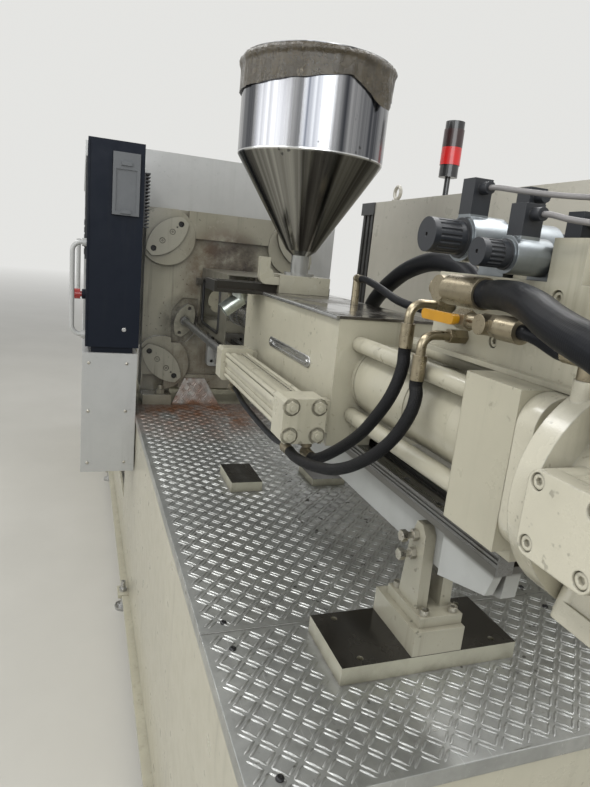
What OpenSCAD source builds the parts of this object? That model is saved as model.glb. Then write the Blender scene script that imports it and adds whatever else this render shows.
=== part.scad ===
// Injection moulding machine with a direct hydraulic clamp and an in-line injection unit.
// Working frame: X = 0 on the fixed platen's boss faces, +X toward the injection end,
// Y = 0 on the injection axis, +Y away from the operator, Z = 0 on the floor.
// place() moves that frame so that the origin is under the middle of the whole machine.

/* [Bed] */
// Height of the injection axis above the floor
axis_z = 1385; // [1300:5:1500]
// Height of the walking deck above the floor
deck_z = 930; // [880:5:950]
// Width of the bed
bed_w = 800; // [780:5:840]
// Length of the bed on the clamp side of the fixed platen
bed_far = 2750; // [2740:5:2900]
// Length of the bed on the injection side of the fixed platen
bed_near = 2035; // [2030:5:2200]
// Thickness of the bed's plates
bed_wall = 12; // [8:1:20]
// Height of the bed's underside above the floor
bed_clear = 70; // [55:1:90]
// Width of the flange along the bed's foot
bed_flange = 30; // [20:1:40]
// Distance between the levelling feet along the bed
foot_pitch = 1540; // [1480:10:1560]
// Radius of a levelling foot's pad
foot_pad_r = 34; // [25:1:45]

/* [Deck] */
// Thickness of the chequer plate
deck_t = 4; // [3:0.5:5]
// Place of the seam between the two deck plates
deck_seam_x = 1667; // [1500:5:1750]
// Depth of the deck plates' folded edges
deck_lip = 28; // [15:1:40]

/* [Platens] */
// Thickness of the fixed platen
platen_t = 230; // [200:5:260]
// Width of both platens
platen_w = 740; // [730:5:760]
// Top of both platens above the injection axis
platen_up = 385; // [380:5:420]
// Half the spacing of the tie bars across the machine
tie_y = 284; // [270:1:290]
// Half the spacing of the tie bars in height
tie_z = 272; // [262:1:285]
// Radius of a tie bar
tie_r = 40; // [35:1:45]
// Radius of the bosses round the tie bars
boss_r = 120; // [110:1:135]
// How far the bosses stand out of the platen
boss_h = 26; // [15:1:35]
// Daylight between the platens with the mould open
daylight = 700; // [600:10:760]
// Stroke of the moving platen
clamp_stroke = 500; // [300:10:520]
// Thickness of the moving platen
moving_t = 200; // [160:5:220]
// Radius of the clamp ram
ram_r = 150; // [120:1:160]
// Place of the clamp cylinder's front face
clamp_x = -1800; // [-1850:5:-1780]
// Thickness of the clamp cylinder's cross block
clamp_t = 300; // [260:5:320]
// Radius of the ejector rod
ejector_r = 20; // [15:1:25]
// Stroke of the ejector
ejector_stroke = 120; // [60:5:150]
// Radius of the locating bore for the mould
locating_r = 62.5; // [50:0.5:80]

/* [Guards] */
// Top of the clamp guards above the floor
guard_top = 2016; // [1900:2:2100]
// Distance of the front guard from the injection axis
guard_front = 575; // [540:5:590]
// Distance of the rear guard from the injection axis
guard_rear = 520; // [500:5:600]
// Thickness of the guard sheets
sheet = 2.5; // [1.5:0.5:4]
// Length of a sliding gate
gate_l = 1330; // [1200:10:1380]
// Thickness of a sliding gate
gate_t = 20; // [16:1:30]
// Opening travel of a sliding gate
gate_travel = 900; // [500:10:950]

/* [Control cabinet] */
// Near face of the control cabinet
panel_x = 200; // [160:5:240]
// Length of the control cabinet along the machine
panel_l = 330; // [280:5:340]
// Front face of the control cabinet, from the injection axis
panel_front = 604; // [600:2:640]
// Depth of the control cabinet
panel_d = 202; // [180:2:202]
// Underside of the control cabinet
panel_z = 1208; // [1200:2:1260]
// Height of the control cabinet
panel_h = 768; // [650:2:800]
// Underside of the column that carries the control cabinet
column_z = 688; // [600:2:760]
// Radius of the cabinet handle's tube
handle_r = 9; // [6:0.5:12]

/* [Electrical cabinet] */
// Front face of the electrical cabinet, from the injection axis
ecab_gap = 40; // [38:2:80]
// Depth of the electrical cabinet
ecab_d = 420; // [350:5:500]
// Far end of the electrical cabinet
ecab_x = 460; // [430:5:500]
// Length of the electrical cabinet
ecab_l = 1340; // [1200:10:1440]
// Height of the electrical cabinet
ecab_h = 1857; // [1750:1:1950]
// Thickness of the cabinet's door
door_t = 22; // [18:1:30]
// Radius of the signal tower's lens
tower_r = 32; // [25:1:36]

/* [Carriage guide] */
// Top of the carriage rails above the floor
rail_z = 1238; // [1225:1:1250]
// Width of a carriage rail
rail_w = 28; // [20:1:30]
// Height of a carriage rail
rail_h = 22; // [15:1:28]
// Distance of a rail's outer side from the injection axis
rail_out = 46.5; // [44:0.5:56]
// Near end of the guide beam
beam_end = 1990; // [1950:5:2020]
// Thickness of the beam's web
web_t = 27; // [20:1:32]
// Depth of the beam's web
web_h = 85; // [70:1:100]
// Near face of the support block
seat_x = 1849; // [1840:1:1860]
// Length of the support base plate along the machine
seat_l = 154; // [140:1:170]
// Width of the support base plate
seat_w = 358; // [320:2:380]
// Thickness of the support base plate
seat_t = 34; // [25:1:40]
// Height of the support block
block_h = 48; // [35:1:55]

/* [Injection unit] */
// Distance that the carriage travels toward the mould
carriage_travel = 310; // [200:10:320]
// Far end of the feed block
feed_x = 760; // [740:5:780]
// Length of the feed block
feed_l = 741; // [700:1:780]
// Width of the feed block
feed_w = 240; // [220:2:243]
// Top of the feed block above the injection axis
feed_up = 128; // [120:1:140]
// Thickness of the feed block's cover plate
cover_t = 6; // [4:1:10]
// Radius of the injection cylinder
cyl_r = 78; // [74:1:80]
// Length of the injection cylinder
cyl_l = 396; // [390:1:460]
// Radius of the injection piston
piston_r = 60; // [50:1:64]
// Injection stroke
inject_stroke = 200; // [120:5:220]
// Radius of a tie column
column_r = 16.5; // [14:0.5:18]
// Half the spacing of the tie columns across the machine
column_y = 69; // [67:1:72]
// Half the spacing of the tie columns in height
column_dz = 77; // [76:1:84]
// Thickness of the rear plate
rear_t = 124; // [110:1:135]
// Width of the rear plate
rear_w = 178; // [172:2:190]
// Top of the rear plate above the injection axis
rear_up = 106; // [100:1:112]
// Bottom of the rear plate below the injection axis
rear_down = 122; // [112:1:126]
// Radius of the screw
screw_r = 22.5; // [18:0.5:26]
// Radius of the barrel
barrel_r = 44; // [38:1:50]
// Length of the barrel in front of the feed block
barrel_l = 560; // [500:5:600]

/* [Traverse cylinders] */
// Distance of a traverse cylinder's axis from the injection axis
trav_y = 189; // [185:1:195]
// Drop of a traverse cylinder's axis below the injection axis
trav_drop = 82; // [76:1:90]
// Side of a traverse cylinder's square heads
trav_head = 95; // [92:1:98]
// Length of a traverse cylinder
trav_l = 643; // [620:1:660]
// Half the spacing of its tie rods
trav_tie = 30; // [27:1:32]
// Radius of the traverse rods
rod_r = 13.5; // [11:0.5:16]

/* [Hydraulic motor] */
// Distance from the motor's axis to the face of a cylinder cover
lobe_r = 160; // [152:1:175]
// Length of a cylinder cover along the axis
lobe_l = 106; // [96:1:110]
// Width of a cylinder cover
lobe_w = 100; // [90:1:104]
// Length of the motor from the rear plate
motor_l = 300; // [280:1:330]

/* [Hopper] */
// Place of the hopper along the machine
hopper_x = 890; // [880:1:900]
// Radius of the hopper's drum
hopper_r = 210; // [180:2:230]
// Height of the hopper's drum
drum_h = 250; // [200:5:300]
// Height of the hopper's cone
cone_h = 255; // [220:5:280]
// Thickness of the hopper's sheet
hopper_t = 1.5; // [1:0.5:3]
// Height of the slide under the hopper
slide_h = 52; // [45:1:60]
// Travel of the hopper toward the operator
hopper_travel = 180; // [150:5:190]

/* [Hidden] */

$fn = 48;
gap = 0.3;          // clearance between bodies that move
fit = 0.08;         // radial clearance of a running fit
cream = "#c9c6ab";
grey_white = "#d4d5d2";
navy = "#1d2636";
steel = "#9a9c9e";
dark = "#2b2b2d";
zinc = "#b6b0a0";
stainless = "#b9bbbc";

bed_top = deck_z - deck_t;
ecab_y = bed_w / 2 + ecab_gap;
platen_top = axis_z + platen_up;
moving_x = -platen_t - daylight;
clamp_back = clamp_x - clamp_t;
ram_l = clamp_stroke + moving_x - moving_t - clamp_back + 30;
barrel_end = moving_x - moving_t - ram_l - 40;
cap_t = 60;
tie_far = clamp_back - 90;
ways_h = 20;
ways_y = 300;
ways_w = 60;
way_in = ways_y - ways_w;
bay_x0 = clamp_x + 240;
bay_x1 = -platen_t - 40;
platen_z = deck_z + 70;
end_x = -platen_t + 30;
gate_x1 = end_x - 15;
gate_x0 = gate_x1 - gate_l;
gate_z0 = 1000;
gate_z1 = guard_top - 52;
fixed_guard_x0 = -bed_far + 5;
gate_gap = 5;
front_gate_y = guard_front + gate_gap;
rear_gate_y = guard_rear + gate_gap;
rail_d = 36;

feed_x1 = feed_x + feed_l;
feed_top = axis_z + feed_up;
feed_bottom = rail_z + gap;
cover_top = feed_top + cover_t;
rear_x = feed_x1 + cyl_l;
rear_x1 = rear_x + rear_t;
rear_top = axis_z + rear_up;
rear_bottom = axis_z - rear_down;
motor_x = rear_x1 + gap / 3;
motor_x1 = motor_x + motor_l;
lobe_x = motor_x + 168;
trav_z = axis_z - trav_drop;
trav_x1 = feed_x1 + 36;
trav_x0 = trav_x1 - trav_l;
trav_near_l = 70;
trav_far_l = 60;
rod_flange_t = 16;
slide_top = cover_top + gap + slide_h;
cone_z = slide_top + 73;
drum_z = cone_z + cone_h;
hopper_top = drum_z + drum_h;
beam_top = rail_z - rail_h;
beam_y = -8;
top_plate_t = 12;
web_top = beam_top - top_plate_t;
bracket_t = 22;
block_y = -14;
seat_y = -20;
block_top = deck_z + seat_t + block_h;
bracket_foot = 19;
tip_x = feed_x - barrel_l - 90;

// Manifold and valves
man_x = 1689;
man_l = 372;
man_y = -20;
man_d = 150;
man_z = rear_top + 7;
man_h = 130;
man_top = man_z + man_h;
port1 = [man_x + 48, man_z + 73];
port2 = [man_x + 99, man_z + 28];
big_port = [man_x + 100, man_z + 104];
valve_x = [man_x + 130, man_x + 237];
valve_coil_r = [35, 26];
valve_coil_l = [64, 62];
valve_lift = [17, 5];
valve_knob_r = [25.5, 19];
valve_knob_l = [58, 44];
valve_body_w = [40, 40];
plug_in = [15, 24];
plug_h = [52, 43];
elbow_y = man_y - 79;
bend = 22;
tap = [man_x + 204, man_y - 80, man_z + 66];
ferrule_l = 40;
branch_y = -trav_y - 17;
branch_z = 1232;
drain_port = [2112, -80, 1524];

panel_y0 = -panel_front;
panel_y1 = panel_y0 + panel_d;
panel_x0 = panel_x - panel_l;
swivel_x = panel_x0 + 40;
swivel_y = panel_y0 + 44;
handle_out = 50;
stop_x = panel_x - 90;
stop_z = panel_z + 194;
door_out = 30;

// The whole machine's corners, for the origin
x_low = -bed_far;
x_high = motor_x1;
y_low = panel_y0 - handle_out - handle_r;
y_high = ecab_y + ecab_d + gap + door_t + door_out;
shift = [-(x_low + x_high) / 2, -(y_low + y_high) / 2, 0];

// Hose routes, in the working frame
hose_r = 11;
hose_1 = [[1737, -99, 1494.5], [1737, -99, 1483], [1743, -102, 1466], [1746, -110, 1436], [1742, -120, 1405],
  [1728, -130, 1373], [1703, -140, 1336], [1672, -149, 1305], [1636, -158, 1276], [1600, -166, 1251],
  [1576, -171, 1238], [1562, -172, 1232.5], [1551, -172, 1232]];
hose_2 = [[1788, -99, 1449.5], [1788, -99, 1439], [1796, -101, 1427], [1801, -107, 1406], [1798, -116, 1379],
  [1787, -127, 1349], [1769, -140, 1321], [1740, -152, 1293], [1707, -164, 1269], [1668, -176, 1250],
  [1629, -188, 1240], [1590, -198, 1234], [1550, -206, 1232], [1514, -206, 1232]];
branch_pipe = [[1471, -206, 1232], [1456, -206, 1232], [1432, -206, 1228], [1396, -206, 1224],
  [1300, -204, 1221], [1197, -202, 1222], [1083, -198, 1224], [1000, -191, 1229], [966, -189, 1231], [951, -189, 1231]];
big_hose_r = 21;
big_hose = [[1884.5, -66, 1602], [1902, -66, 1602], [1934, -76, 1604.5], [1998, -101, 1604], [2068, -132, 1597],
  [2109, -147, 1588], [2147, -158, 1580.5], [2175, -163, 1575], [2204, -162, 1566], [2234, -158, 1551],
  [2259, -153, 1530], [2278, -149, 1504], [2291, -147, 1474], [2297, -146, 1443], [2297, -146, 1402]];
loop_hose = [[1664.5, 100, 1602], [1650, 100, 1602], [1628, 100, 1611], [1600, 100, 1628], [1558, 101, 1641],
  [1478, 105, 1647], [1400, 112, 1638], [1314, 121, 1617], [1236, 131, 1588], [1170, 142, 1560],
  [1120, 152, 1536], [1078, 162, 1510], [1036, 172, 1482], [996, 180, 1454], [960, 186, 1428],
  [930, 189, 1404], [916, 189, 1381], [916, 189, 1362.5]];
drain_hose = [[2015.5, -100, 1564], [2028, -100, 1564], [2041, -94, 1560], [2051, -86, 1553.5], [2060, -81, 1549],
  [2066, -80, 1548], [2071.5, -80, 1548]];
cooling_hose = [[1205, 60, 1587], [1222, 60, 1587], [1250, 58, 1585], [1310, 52, 1577], [1380, 44, 1566],
  [1440, 36, 1557], [1500, 30, 1552], [1560, 30, 1550], [1620, 30, 1550], [1664.5, 30, 1550]];

// Helpers

module place() {
  translate(shift) children();
}

module box(a, b) {
  translate(a) cube(b - a);
}

module xcyl(x0, x1, r, y = 0, z = axis_z) {
  translate([x0, y, z]) rotate([0, 90, 0]) cylinder(h = x1 - x0, r = r);
}

module ycyl(y0, y1, r, x, z) {
  translate([x, y1, z]) rotate([90, 0, 0]) cylinder(h = y1 - y0, r = r);
}

module zcyl(z0, z1, r, x, y) {
  translate([x, y, z0]) cylinder(h = z1 - z0, r = r);
}

// A rectangle with round corners, about its centre
module round_rect(w, h, r) {
  square([w - 2 * r, h], center = true);
  square([w, h - 2 * r], center = true);
  for (sx = [-1, 1], sy = [-1, 1])
    translate([sx * (w / 2 - r), sy * (h / 2 - r)]) circle(r);
}

// A profile drawn in Y and Z, run along X
module run_x(x0, x1) {
  translate([x0, 0, 0]) rotate([90, 0, 90]) linear_extrude(x1 - x0) children();
}

// A profile drawn in X and Z, run along Y
module run_y(y0, y1) {
  translate([0, y1, 0]) rotate([90, 0, 0]) linear_extrude(y1 - y0) children();
}

module four(dy, dz, z = axis_z) {
  for (sy = [-1, 1], sz = [-1, 1]) translate([0, sy * dy, z + sz * dz]) children();
}

// A hex bolt head along X
module hex_x(x, y, z, r, h) {
  translate([x, y, z]) rotate([0, 90, 0]) cylinder(h = h, r = r, $fn = 6);
}

// A round tube swept along points, with 8 sides
function unit(v) = v / norm(v);
function tangent(p, i) = unit(p[min(i + 1, len(p) - 1)] - p[max(i - 1, 0)]);
function frame_side(p, i) = i == 0
  ? unit(cross(tangent(p, 0), abs(tangent(p, 0)[2]) > 0.9 ? [1, 0, 0] : [0, 0, 1]))
  : let (s = frame_side(p, i - 1), t = tangent(p, i)) unit(s - (s * t) * t);
function ring(p, i, r, n) = let (t = tangent(p, i), a = frame_side(p, i), b = cross(t, a))
  [for (k = [0:n - 1]) p[i] + r * (cos(k * 360 / n) * a + sin(k * 360 / n) * b)];
module tube(p, r, n = 8) {
  m = len(p);
  polyhedron(
    points = [for (i = [0:m - 1]) each ring(p, i, r, n)],
    faces = concat(
      [[for (k = [0:n - 1]) k]],
      [for (i = [0:m - 2], k = [0:n - 1])
        [i * n + k, (i + 1) * n + k, (i + 1) * n + (k + 1) % n, i * n + (k + 1) % n]],
      [[for (k = [n - 1:-1:0]) (m - 1) * n + k]]));
}

// Bed and deck

// The bed is welded up from plates, each a solid of its own with a weld gap
module machine_bed() color(cream) place() {
  w = bed_wall;
  g = gap / 3;
  y = bed_w / 2;
  yi = y - w - g;
  for (s = [-1, 1]) {
    // Side plate with the mouth of the chute
    difference() {
      box([-bed_far, s > 0 ? y - w : -y, bed_clear + w + g], [bed_near, s > 0 ? y : w - y, bed_top]);
      box([moving_x - 60, s > 0 ? y - w - 1 : -y - 1, 330], [bay_x1 - 60, s > 0 ? y + 1 : w + 1 - y, 760]);
    }
    // Foot flange with pads and bores for the levelling feet
    difference() {
      union() {
        box([-bed_far, s > 0 ? y - w : -y - bed_flange, bed_clear], [bed_near, s > 0 ? y + bed_flange : w - y, bed_clear + w]);
        for (k = [0:3]) box([foot_x(k) - 40, s > 0 ? y + g : -y - bed_flange - 18, bed_clear],
          [foot_x(k) + 40, s > 0 ? y + bed_flange + 18 : -y - g, bed_clear + w + 4]);
      }
      for (k = [0:3]) zcyl(bed_clear - 1, bed_clear + 40, 10.2, foot_x(k), s * foot_y());
    }
    // Upper chord of the mould bay, and the way bolted on it
    box([bay_x0 + w + g, s > 0 ? way_in : -yi, bed_top - 40], [bay_x1 - g, s > 0 ? yi : -way_in, bed_top]);
    box([bay_x0 + w + g, s * ways_y - ways_w / 2, bed_top + g], [bay_x1 - g, s * ways_y + ways_w / 2, bed_top + ways_h]);
  }
  // End plates, the bulkhead of the oil tank and the block under the fixed platen
  for (x = [[-bed_far, -bed_far + w], [bed_near - w, bed_near], [bay_x0 - w, bay_x0 + w], [bay_x1, 40]])
    box([x[0], -yi, bed_clear], [x[1], yi, bed_top]);
  // Oil tank's bottom and its lid with a breather cap
  box([-bed_far + w + g, -yi, bed_clear], [bay_x0 - w - g, yi, bed_clear + w]);
  box([-bed_far + w + g, -yi, bed_top - 40], [bay_x0 - w - g, yi, bed_top]);
  zcyl(bed_top - 1, bed_top + 34, 24, -bed_far + 150, -y + 150);
  zcyl(bed_top + 33, bed_top + 62, 38, -bed_far + 150, -y + 150);
  // Cross plates at both ends of the mould bay's opening
  for (x = [[bay_x0 + w + g, moving_x - 60], [bay_x1 - 20, bay_x1 - g]])
    box([x[0], g - way_in, bed_top - 40], [x[1], way_in - g, bed_top]);
  // Frame over the pump bay, open below
  difference() {
    box([40 + g, -yi, bed_top - w], [bed_near - w - g, yi, bed_top]);
    box([100, -y + 80, bed_top - w - 1], [bed_near - 80, y - 80, bed_top + 1]);
  }
  // Cross members under the pump set
  for (x = pump_feet()) box([x - 30, -yi, 130], [x + 30, yi, 190]);
}

function foot_x(k) = bed_near - 365 - k * foot_pitch + (k == 3 ? foot_pitch - 1150 : 0);
function foot_y() = bed_w / 2 + bed_flange - 6;
function pump_feet() = [1180, 1480];

module levelling_feet() color(steel) place() {
  for (k = [0:3], s = [-1, 1]) {
    x = foot_x(k);
    y = s * foot_y();
    zcyl(0, 14, foot_pad_r, x, y);
    zcyl(14, 24, foot_pad_r * 0.55, x, y);
    zcyl(24, bed_clear + 62, 10, x, y);
    translate([x, y, bed_clear - 14 - gap / 3]) cylinder(h = 14, r = 17, $fn = 6);
    translate([x, y, bed_clear + bed_wall + 4 + gap / 3]) cylinder(h = 13, r = 17, $fn = 6);
  }
}

// A folded plate with lips down the sides, and across the near end if it has one
module deck_plate(x0, x1, near_lip) {
  y = bed_w / 2 + gap / 3 + deck_t;
  end = near_lip ? deck_t : 0;
  difference() {
    box([x0, -y, deck_z - deck_lip], [x1, y, deck_z]);
    box([x0 - 1, -y + deck_t, deck_z - deck_lip - 1], [x1 - end, y - deck_t, deck_z - deck_t]);
    box([x0 - 1, 410, deck_z - deck_lip - 1], [x1 + 1, y + 1, deck_z - deck_t]);
  }
}

module deck_plate_near() color("#8f9396") place()
  deck_plate(deck_seam_x + 1, bed_near + deck_t + gap / 3, true);

module deck_plate_far() color("#8f9396") place()
  deck_plate(4, deck_seam_x - 1, false);

module toe_plate() color("#8f9396") place() {
  h = 115;
  run = 18;
  translate([gap / 3 - 8, 0, deck_z + gap / 3]) intersection() {
    run_y(-232, -18) polygon([[run, 0], [run + 5, 0], [5, h], [0, h + 2], [0, h - 4]]);
    run_x(-1, run + 8) polygon([[-232, 0], [-18, 0], [-87, h + 3], [-176, h + 3]]);
  }
}

// Clamp unit

module platen_bolt_holes(x0, x1) {
  for (i = [-2:2], j = [-2:2])
    if (abs(i) + abs(j) > 1 && !(abs(i) == 2 && abs(j) == 2))
      xcyl(x0, x1, 8, i * 105, axis_z + j * 105);
}

// The pointed plate over a tie bar's end: two large arcs that meet at round tips
module cover_outline(grow = 0) {
  intersection() {
    translate([0, -92]) circle(150 + grow);
    translate([0, 92]) circle(150 + grow);
    square([206 + 2 * grow, 140], center = true);
  }
}

module fixed_platen() color(cream) place() {
  y = platen_w / 2;
  base = -boss_h;
  difference() {
    union() {
      box([-platen_t, -y, platen_z], [base, y, platen_top]);
      // Bosses round the tie bars
      intersection() {
        four(tie_y, tie_z) rotate([0, 90, 0]) translate([0, 0, base - 1]) cylinder(h = boss_h + 1, r = boss_r);
        box([base - 1, -y, platen_z - 20], [1, y, platen_top]);
      }
      // Ribs between the bosses
      box([base - 1, -tie_y + 90, platen_top - 112], [-4, tie_y - 90, platen_top]);
      xcyl(base - 1, -4, 14, -tie_y + 100, platen_top - 110);
      box([base - 1, -tie_y + 80, platen_z], [-8, tie_y - 80, platen_z + 62]);
      // Feet
      for (s = [-1, 1]) {
        box([-platen_t + 10, s * ways_y - 62, bed_top + gap / 3], [base - 20, s * ways_y + 62, platen_z + 1]);
        box([base - 21, s * ways_y - 62, deck_z + gap], [34, s * ways_y + 62, deck_z + 46]);
      }
    }
    // Tie bar bores
    four(tie_y, tie_z) rotate([0, 90, 0]) translate([0, 0, -platen_t - 1]) cylinder(h = platen_t + 10, r = tie_r + fit);
    // Nozzle pocket and through bore
    run_x(-170, 1) translate([0, axis_z + 35]) round_rect(246, 220, 30);
    xcyl(-platen_t - 1, -160, 58);
    xcyl(-platen_t - 1, -platen_t + 18, locating_r);
    platen_bolt_holes(-platen_t - 1, -platen_t + 45);
    // Pockets for the foot studs
    for (s = [-1, 1]) box([base - 40, s * ways_y - 62, deck_z + 46], [1, s * ways_y + 30, deck_z + 130]);
    // Seats of the traverse rods' flanges
    for (s = [-1, 1]) translate([0, s * trav_y, trav_z]) rotate([90, 0, 90]) translate([0, 0, base - 8])
      linear_extrude(9 + boss_h) intersection() {
        square([112, 196], center = true);
        rotate(s * 20) scale(1.15) rotate(90) cover_outline();
      }
  }
  // Foot studs and nuts
  for (s = [-1, 1]) {
    zcyl(deck_z + 45, deck_z + 84, 12, 4, s * (ways_y - 16));
    translate([4, s * (ways_y - 16), deck_z + 46]) cylinder(h = 20, r = 20, $fn = 6);
  }
}

module tie_bars() color(steel) place() {
  four(tie_y, tie_z) rotate([0, 90, 0]) translate([0, 0, tie_far]) {
    cylinder(h = -tie_far - 2, r = tie_r);
    // Nuts behind the clamp cylinder's block
    translate([0, 0, 8]) difference() {
      cylinder(h = clamp_back - tie_far - 8 - gap / 3, r = tie_r + 28);
      translate([0, 0, -1]) cylinder(h = 90, r = tie_r - 1);
    }
  }
}

module tie_bar_covers() color(cream) place() {
  for (sy = [-1, 1], sz = [-1, 1])
    translate([gap / 3, sy * tie_y, axis_z + sz * tie_z]) rotate([90, 0, 90]) rotate(-sy * sz * 44) {
      difference() {
        linear_extrude(15) cover_outline();
        for (t = [-1, 1]) translate([t * 77, 0, -1]) cylinder(h = 20, r = 12);
        translate([56, 2, 8]) cylinder(h = 10, r = 4);
        for (t = [-1, 1]) translate([t * 28, 0, 9]) cylinder(h = 10, r = 12);
      }
      // Sunk screw heads
      for (t = [-1, 1]) translate([t * 28, 0, 9 + gap / 3]) difference() {
        cylinder(h = 5.6, r = 9.5);
        translate([0, 0, 2]) cylinder(h = 6, r = 5, $fn = 6);
      }
    }
}

module moving_platen() color(cream) place() {
  y = platen_w / 2;
  x1 = moving_x;
  x0 = moving_x - moving_t;
  difference() {
    union() {
      box([x0, -y, platen_z], [x1, y, platen_top]);
      for (s = [-1, 1])
        box([x0 - 60, s * ways_y - 55, bed_top + ways_h + gap], [x1 - 20, s * ways_y + 55, platen_z + 1]);
      xcyl(x0 - 40, x0 + 1, ram_r + 60);
    }
    four(tie_y, tie_z) rotate([0, 90, 0]) translate([0, 0, x0 - 1]) cylinder(h = moving_t + 2, r = tie_r + fit);
    // Waist cut-outs between the corners
    for (s = [-1, 1]) box([x0 - 1, s > 0 ? y - 46 : -y - 1, axis_z - 130], [x1 + 1, s > 0 ? y + 1 : -y + 46, axis_z + 130]);
    xcyl(x1 - 18, x1 + 1, locating_r);
    xcyl(x0 - 41, x1 + 1, ejector_r + fit);
    xcyl(x0 - 41, x0 + 60, 70);
    platen_bolt_holes(x1 - 45, x1 + 1);
  }
}

module clamp_ram() color(steel) place() {
  x1 = moving_x - moving_t - 40 - gap / 3;
  x0 = moving_x - moving_t - ram_l;
  difference() {
    xcyl(x0, x1, ram_r);
    xcyl(x1 - 320, x1 + 1, 75);
  }
}

module ejector_cylinder() color(cream) place() {
  x1 = moving_x - moving_t + 60 - gap / 3;
  x0 = x1 - 300;
  difference() {
    union() {
      xcyl(x0, x1, 60);
      xcyl(x1 - 56, x1, 70 - gap / 3);
    }
    xcyl(x0 + 20, x1 - 40, 40);
    xcyl(x0 + 20, x1 + 1, ejector_r + fit);
  }
}

module ejector_rod() color(steel) place() {
  tip = moving_x - 20;
  piston = tip - moving_t + 36 - ejector_stroke;
  xcyl(piston - 20, tip, ejector_r);
  xcyl(piston - 24, piston, 40 - fit);
}

module clamp_cylinder_block() color(cream) place() {
  y = platen_w / 2;
  difference() {
    union() {
      box([clamp_back, -y, platen_z], [clamp_x, y, platen_top]);
      for (s = [-1, 1])
        box([clamp_back - 30, s * ways_y - 70, bed_top + gap / 3], [clamp_x + 30, s * ways_y + 70, platen_z + 1]);
    }
    four(tie_y, tie_z) rotate([0, 90, 0]) translate([0, 0, clamp_back - 1]) cylinder(h = clamp_t + 2, r = tie_r + fit);
    xcyl(clamp_back - 1, clamp_x + 1, ram_r + fit);
    xcyl(clamp_back - 1, clamp_back + 60, ram_r + 12);
    for (s = [-1, 1]) box([clamp_back - 1, s > 0 ? y - 60 : -y - 1, axis_z - 130], [clamp_x + 1, s > 0 ? y + 1 : -y + 60, axis_z + 130]);
  }
}

module clamp_cylinder() color(cream) place() {
  x1 = clamp_back - gap / 3;
  difference() {
    union() {
      xcyl(barrel_end - cap_t, x1, ram_r + 50);
      xcyl(x1 - 45, x1, ram_r + 62);
      xcyl(barrel_end - cap_t + 12, barrel_end, ram_r + 62);
    }
    xcyl(barrel_end, x1 + 1, ram_r + 12);
    for (a = [0:30:330])
      translate([x1 - 46, (ram_r + 56) * cos(a), axis_z + (ram_r + 56) * sin(a)]) rotate([0, 90, 0])
        cylinder(h = 8, r = 4.5);
    // Oil port
    zcyl(axis_z + ram_r, axis_z + ram_r + 60, 25, barrel_end + 60, 0);
  }
}

// Guards

module guard_rail(y, z0, z1, slot_z0, slot_z1) {
  // y is the sheet's outer side; the slot takes the gate's tongue
  s = sign(y);
  a = abs(y) + gap / 3;
  difference() {
    box([fixed_guard_x0, min(s * a, s * (a + rail_d)), z0], [end_x - gap / 3, max(s * a, s * (a + rail_d)), z1]);
    box([fixed_guard_x0 - 1, min(s * (a + 9), s * (a + 17)), slot_z0], [end_x - 12, max(s * (a + 9), s * (a + 17)), slot_z1]);
  }
}

// Sheets and rails, screwed together
module clamp_guard() color(grey_white) place() {
  y = platen_w / 2 + 6;
  g = gap / 3;
  foot = bed_top + 20;
  x1 = gate_x0 - 10;
  // End panel round the fixed platen, with a folded flange on its top edge
  difference() {
    box([end_x, -guard_front - rail_d - gap, gate_z0 - 50], [end_x + sheet, guard_rear + rail_d + gap, guard_top]);
    box([end_x - 1, -y, gate_z0 - 51], [end_x + sheet + 1, y, platen_top + 6]);
  }
  box([end_x - 30, -guard_front, guard_top - sheet], [end_x + sheet, guard_rear, guard_top]);
  for (s = [-1, 1]) {
    a = s < 0 ? guard_front : guard_rear;
    // Fixed sheet beside the clamp cylinder, with its foot on the bed
    box([fixed_guard_x0, min(s * a, s * (a - sheet)), bed_top + g], [x1, max(s * a, s * (a - sheet)), guard_top]);
    box([fixed_guard_x0, min(s * (a - 1), s * (bed_w / 2 - 20)), bed_top + g], [x1, max(s * (a - 1), s * (bed_w / 2 - 20)), foot]);
    guard_rail(s * a, guard_top - 46, guard_top, guard_top - 47, guard_top - 20);
    guard_rail(s * a, gate_z0 - 46, gate_z0 - 6, gate_z0 - 26, gate_z0 - 5);
    // Bracket that ties the end panel to the bed
    box([end_x - 70, s > 0 ? bed_w / 2 - 30 : -a - 20, bed_top + g],
      [end_x - g, s > 0 ? a + 20 : -bed_w / 2 + 30, bed_top + 28 - g]);
  }
  // Roof and far end
  y0 = -guard_front + sheet + g;
  y1 = guard_rear - sheet - g;
  box([fixed_guard_x0 + sheet + g, y0, guard_top - sheet], [x1, y1, guard_top]);
  box([fixed_guard_x0, y0, foot + g], [fixed_guard_x0 + sheet, y1, guard_top]);
}

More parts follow.
